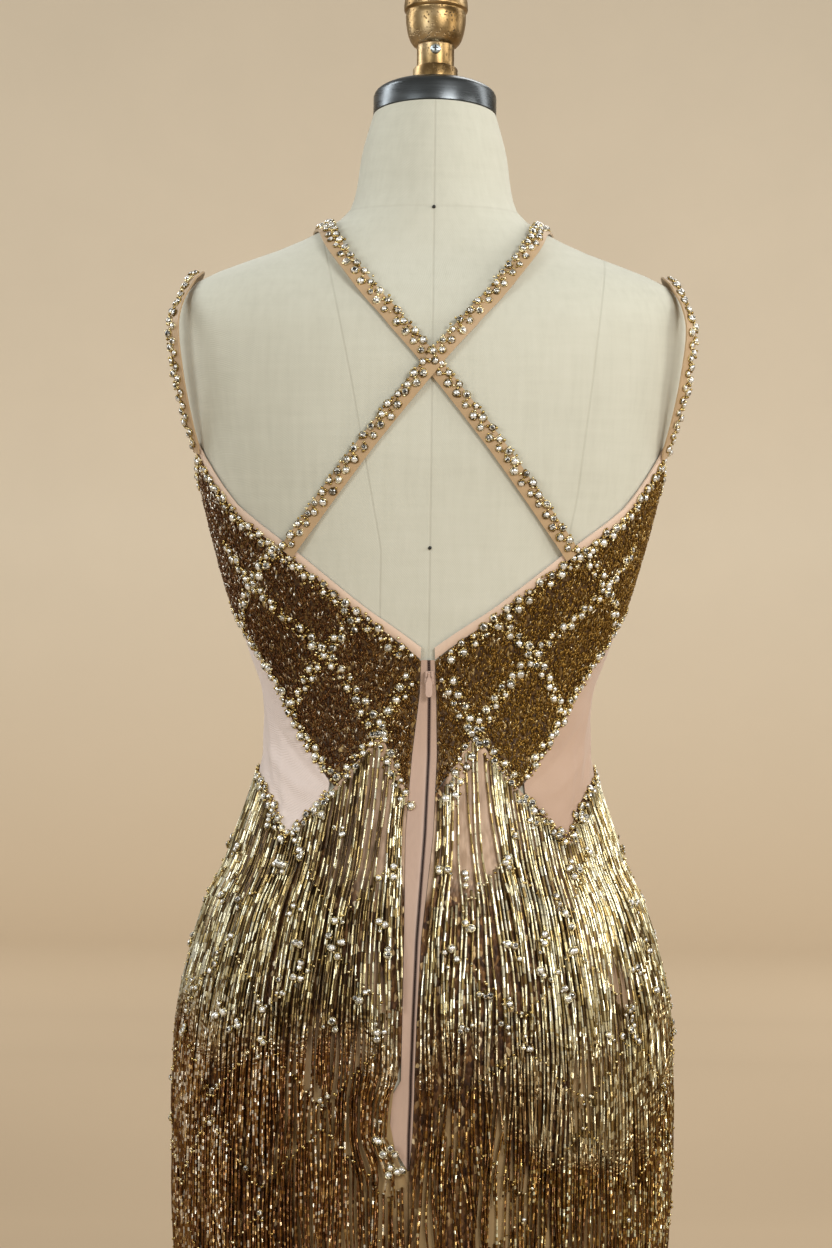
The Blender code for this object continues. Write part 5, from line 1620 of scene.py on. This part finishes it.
def build_headings(rng):
    """Gold beads along every heading, stones at the corners of the zigzags, and clusters on the back."""
    beads, stones = [], []
    for tier in range(1, len(STRING_TIERS)):
        line = heading_line(tier)
        spacing = next(step for before, step in HEADING_STEPS if tier < before)
        radius = np.linalg.norm(surface(90.0, STRING_TIERS[tier][0] * MM)[:2])
        angle = np.arange(HEADING_START, 360 - HEADING_START, math.degrees(spacing * MM / radius))
        angle = angle + rng.normal(0, 0.3, len(angle))
        beads.append(np.stack([angle, line(angle) + rng.normal(0, 1.4 * MM, len(angle))], axis=1))
        period = 180 / ZIGZAGS
        # Three stones at each corner of the upper tiers, one lower down
        corner = np.repeat(np.arange(period / 2, 360, period), 3 if tier < 4 else 1)
        corner = corner[(corner > STONE_START) & (corner < 360 - STONE_START)]
        corner = corner + rng.normal(0, 1.3, len(corner))
        stones.append(np.stack([corner, line(corner) + rng.normal(0, 3.2 * MM, len(corner))], axis=1))
    for side in (1, -1):
        for angle, height in CLUSTERS:
            if side < 0 and height < 800:
                continue
            count = rng.integers(3, 6)
            spread = rng.normal(0, 1, (count, 2)) * (1.4, 3.6 * MM)
            # No closer to the zip than this: the tape is wide on the left
            least = 9.0 if side > 0 and height > 800 else 2.5
            spots = np.array([angle, height * MM]) + spread
            spots[:, 0] = side * np.maximum(spots[:, 0], least)
            stones.append(spots)
    stones, beads = np.concatenate(stones), np.concatenate(beads)
    pieces = []
    out = OUTSIDE + rng.uniform(4.3, 5.6, len(stones)) * MM
    across, up, outward = directions(stones[:, 0], stones[:, 1], out)
    sizes = STONE_RADIUS * rng.choice([0.55, 0.8, 1.05], len(stones), p=[0.3, 0.4, 0.3])
    # Stones are smaller low on the skirt, but of full size at the flap's end
    low = stones[:, 1] < FLAP_FOOT + 12 * MM
    at_flap = low & (stones[:, 1] > 0.72) & (np.abs(stones[:, 0]) < 12)
    sizes = np.where(at_flap, STONE_RADIUS, sizes * np.where(stones[:, 1] < 0.82, 0.75, 1))
    centres = surface(stones[:, 0], stones[:, 1], out)
    pieces += set_stones("skirt", centres, across, up, outward, sizes, "gold_strings", rng)
    out = OUTSIDE + rng.uniform(3.2, 5.4, len(beads)) * MM
    centres = surface(beads[:, 0], beads[:, 1], out)
    sizes = GOLD_BEAD_RADIUS * rng.uniform(0.7, 1.1, len(beads))
    pieces.append(set_beads("heading_beads", centres, sizes, rng))
    return pieces


# Studio


def area_light(name, place, target, size, power, colour):
    """A soft box at a place, whose Z axis points away from its target and whose X axis is level."""
    light = bpy.data.lights.new(name, "AREA")
    light.shape = "RECTANGLE"
    light.size, light.size_y = size
    light.energy = power
    light.color = colour
    made = bpy.data.objects.new(name, light)
    bpy.context.collection.objects.link(made)
    z = unit(np.array(place, float) - np.array(target, float))
    x = unit(np.cross((0, 0, 1), z))
    made.matrix_world = Matrix(np.stack([x, np.cross(z, x), z], axis=1).tolist()).to_4x4()
    made.location = place


def build_studio():
    """A pale floor that curves up into a backdrop far behind, soft lights and the camera. Its section is a
    line, a quarter of a circle and an upright line, carried along X."""
    bend = np.radians(np.arange(6, 91, 6))
    depth = np.concatenate([
        [FLOOR_REACH, -WALL_PLACE], -WALL_PLACE - COVE * np.sin(bend), [-WALL_PLACE - COVE],
    ])
    rise = np.concatenate([[0, 0], COVE * (1 - np.cos(bend)), [WALL_HEIGHT]])
    width = np.array([-FLOOR_REACH, FLOOR_REACH])
    points = np.stack([np.repeat(width, len(depth)), np.tile(depth, 2), np.tile(rise, 2)], axis=-1)
    mesh = bpy.data.meshes.new("studio_backdrop")
    mesh.from_pydata(points.tolist(), [], grid_faces(2, len(depth))[:, ::-1].tolist())
    mesh.shade_smooth()
    mesh.materials.append(painted_wall("backdrop_paint", BACKDROP_COLOUR))
    backdrop = bpy.data.objects.new("studio_backdrop", mesh)
    bpy.context.collection.objects.link(backdrop)

    for light in LIGHTS:
        area_light(*light)
    world = bpy.data.worlds.new("studio_air")
    world.use_nodes = True
    air = world.node_tree.nodes["Background"].inputs
    air[0].default_value, air[1].default_value = AIR_COLOUR, AIR_STRENGTH
    bpy.context.scene.world = world
    bpy.context.scene.view_settings.view_transform = "Standard"

    camera = bpy.data.cameras.new("photo_camera")
    camera.sensor_fit = "VERTICAL"
    camera.sensor_height = SENSOR_MM
    camera.lens = FOCAL_PIXELS / PHOTO_HEIGHT * SENSOR_MM
    view = bpy.data.objects.new("photo_camera", camera)
    bpy.context.collection.objects.link(view)
    behind = Matrix.Rotation(math.pi, 4, "Z") @ Matrix.Rotation(math.pi / 2, 4, "X")
    view.matrix_world = Matrix.Translation(EYE) @ behind @ Matrix.Rotation(CAMERA_ROLL, 4, "Z")
    bpy.context.scene.camera = view


def main():
    """Builds the studio and all the pieces, then clears the cuts that the cloths remember."""
    rng = np.random.default_rng(SEED)
    build_studio()
    build_form()
    build_cap_and_finial()
    repaint(("stand_base", "stand_pole"), STAND_STEEL)
    bodice = build_bodice()
    beads = build_bodice_beads(rng)
    nets = build_side_nets()
    skirt = build_skirt()
    *tapes, backing = build_zip()
    straps = build_straps(rng)
    lattice = build_lattice(rng)
    strings = [build_strings(tier, rng) for tier in range(len(STRING_TIERS))]
    headings = build_headings(rng)

    for word, (body, binding) in bodice.items():
        del binding["cut"]
        with_pieces = [binding, beads[word]] + (lattice if word == "back_left" else [])
        cloth(body, with_pieces)
    for net in nets:
        cloth(net)
    for number, lining_piece in enumerate(skirt):
        cloth(lining_piece, [*strings, *headings, backing] if number == 0 else [])
    del backing["cut"]
    for tape in tapes:
        cloth(tape)
    for band, stones in straps:
        cloth(band, stones)


main()
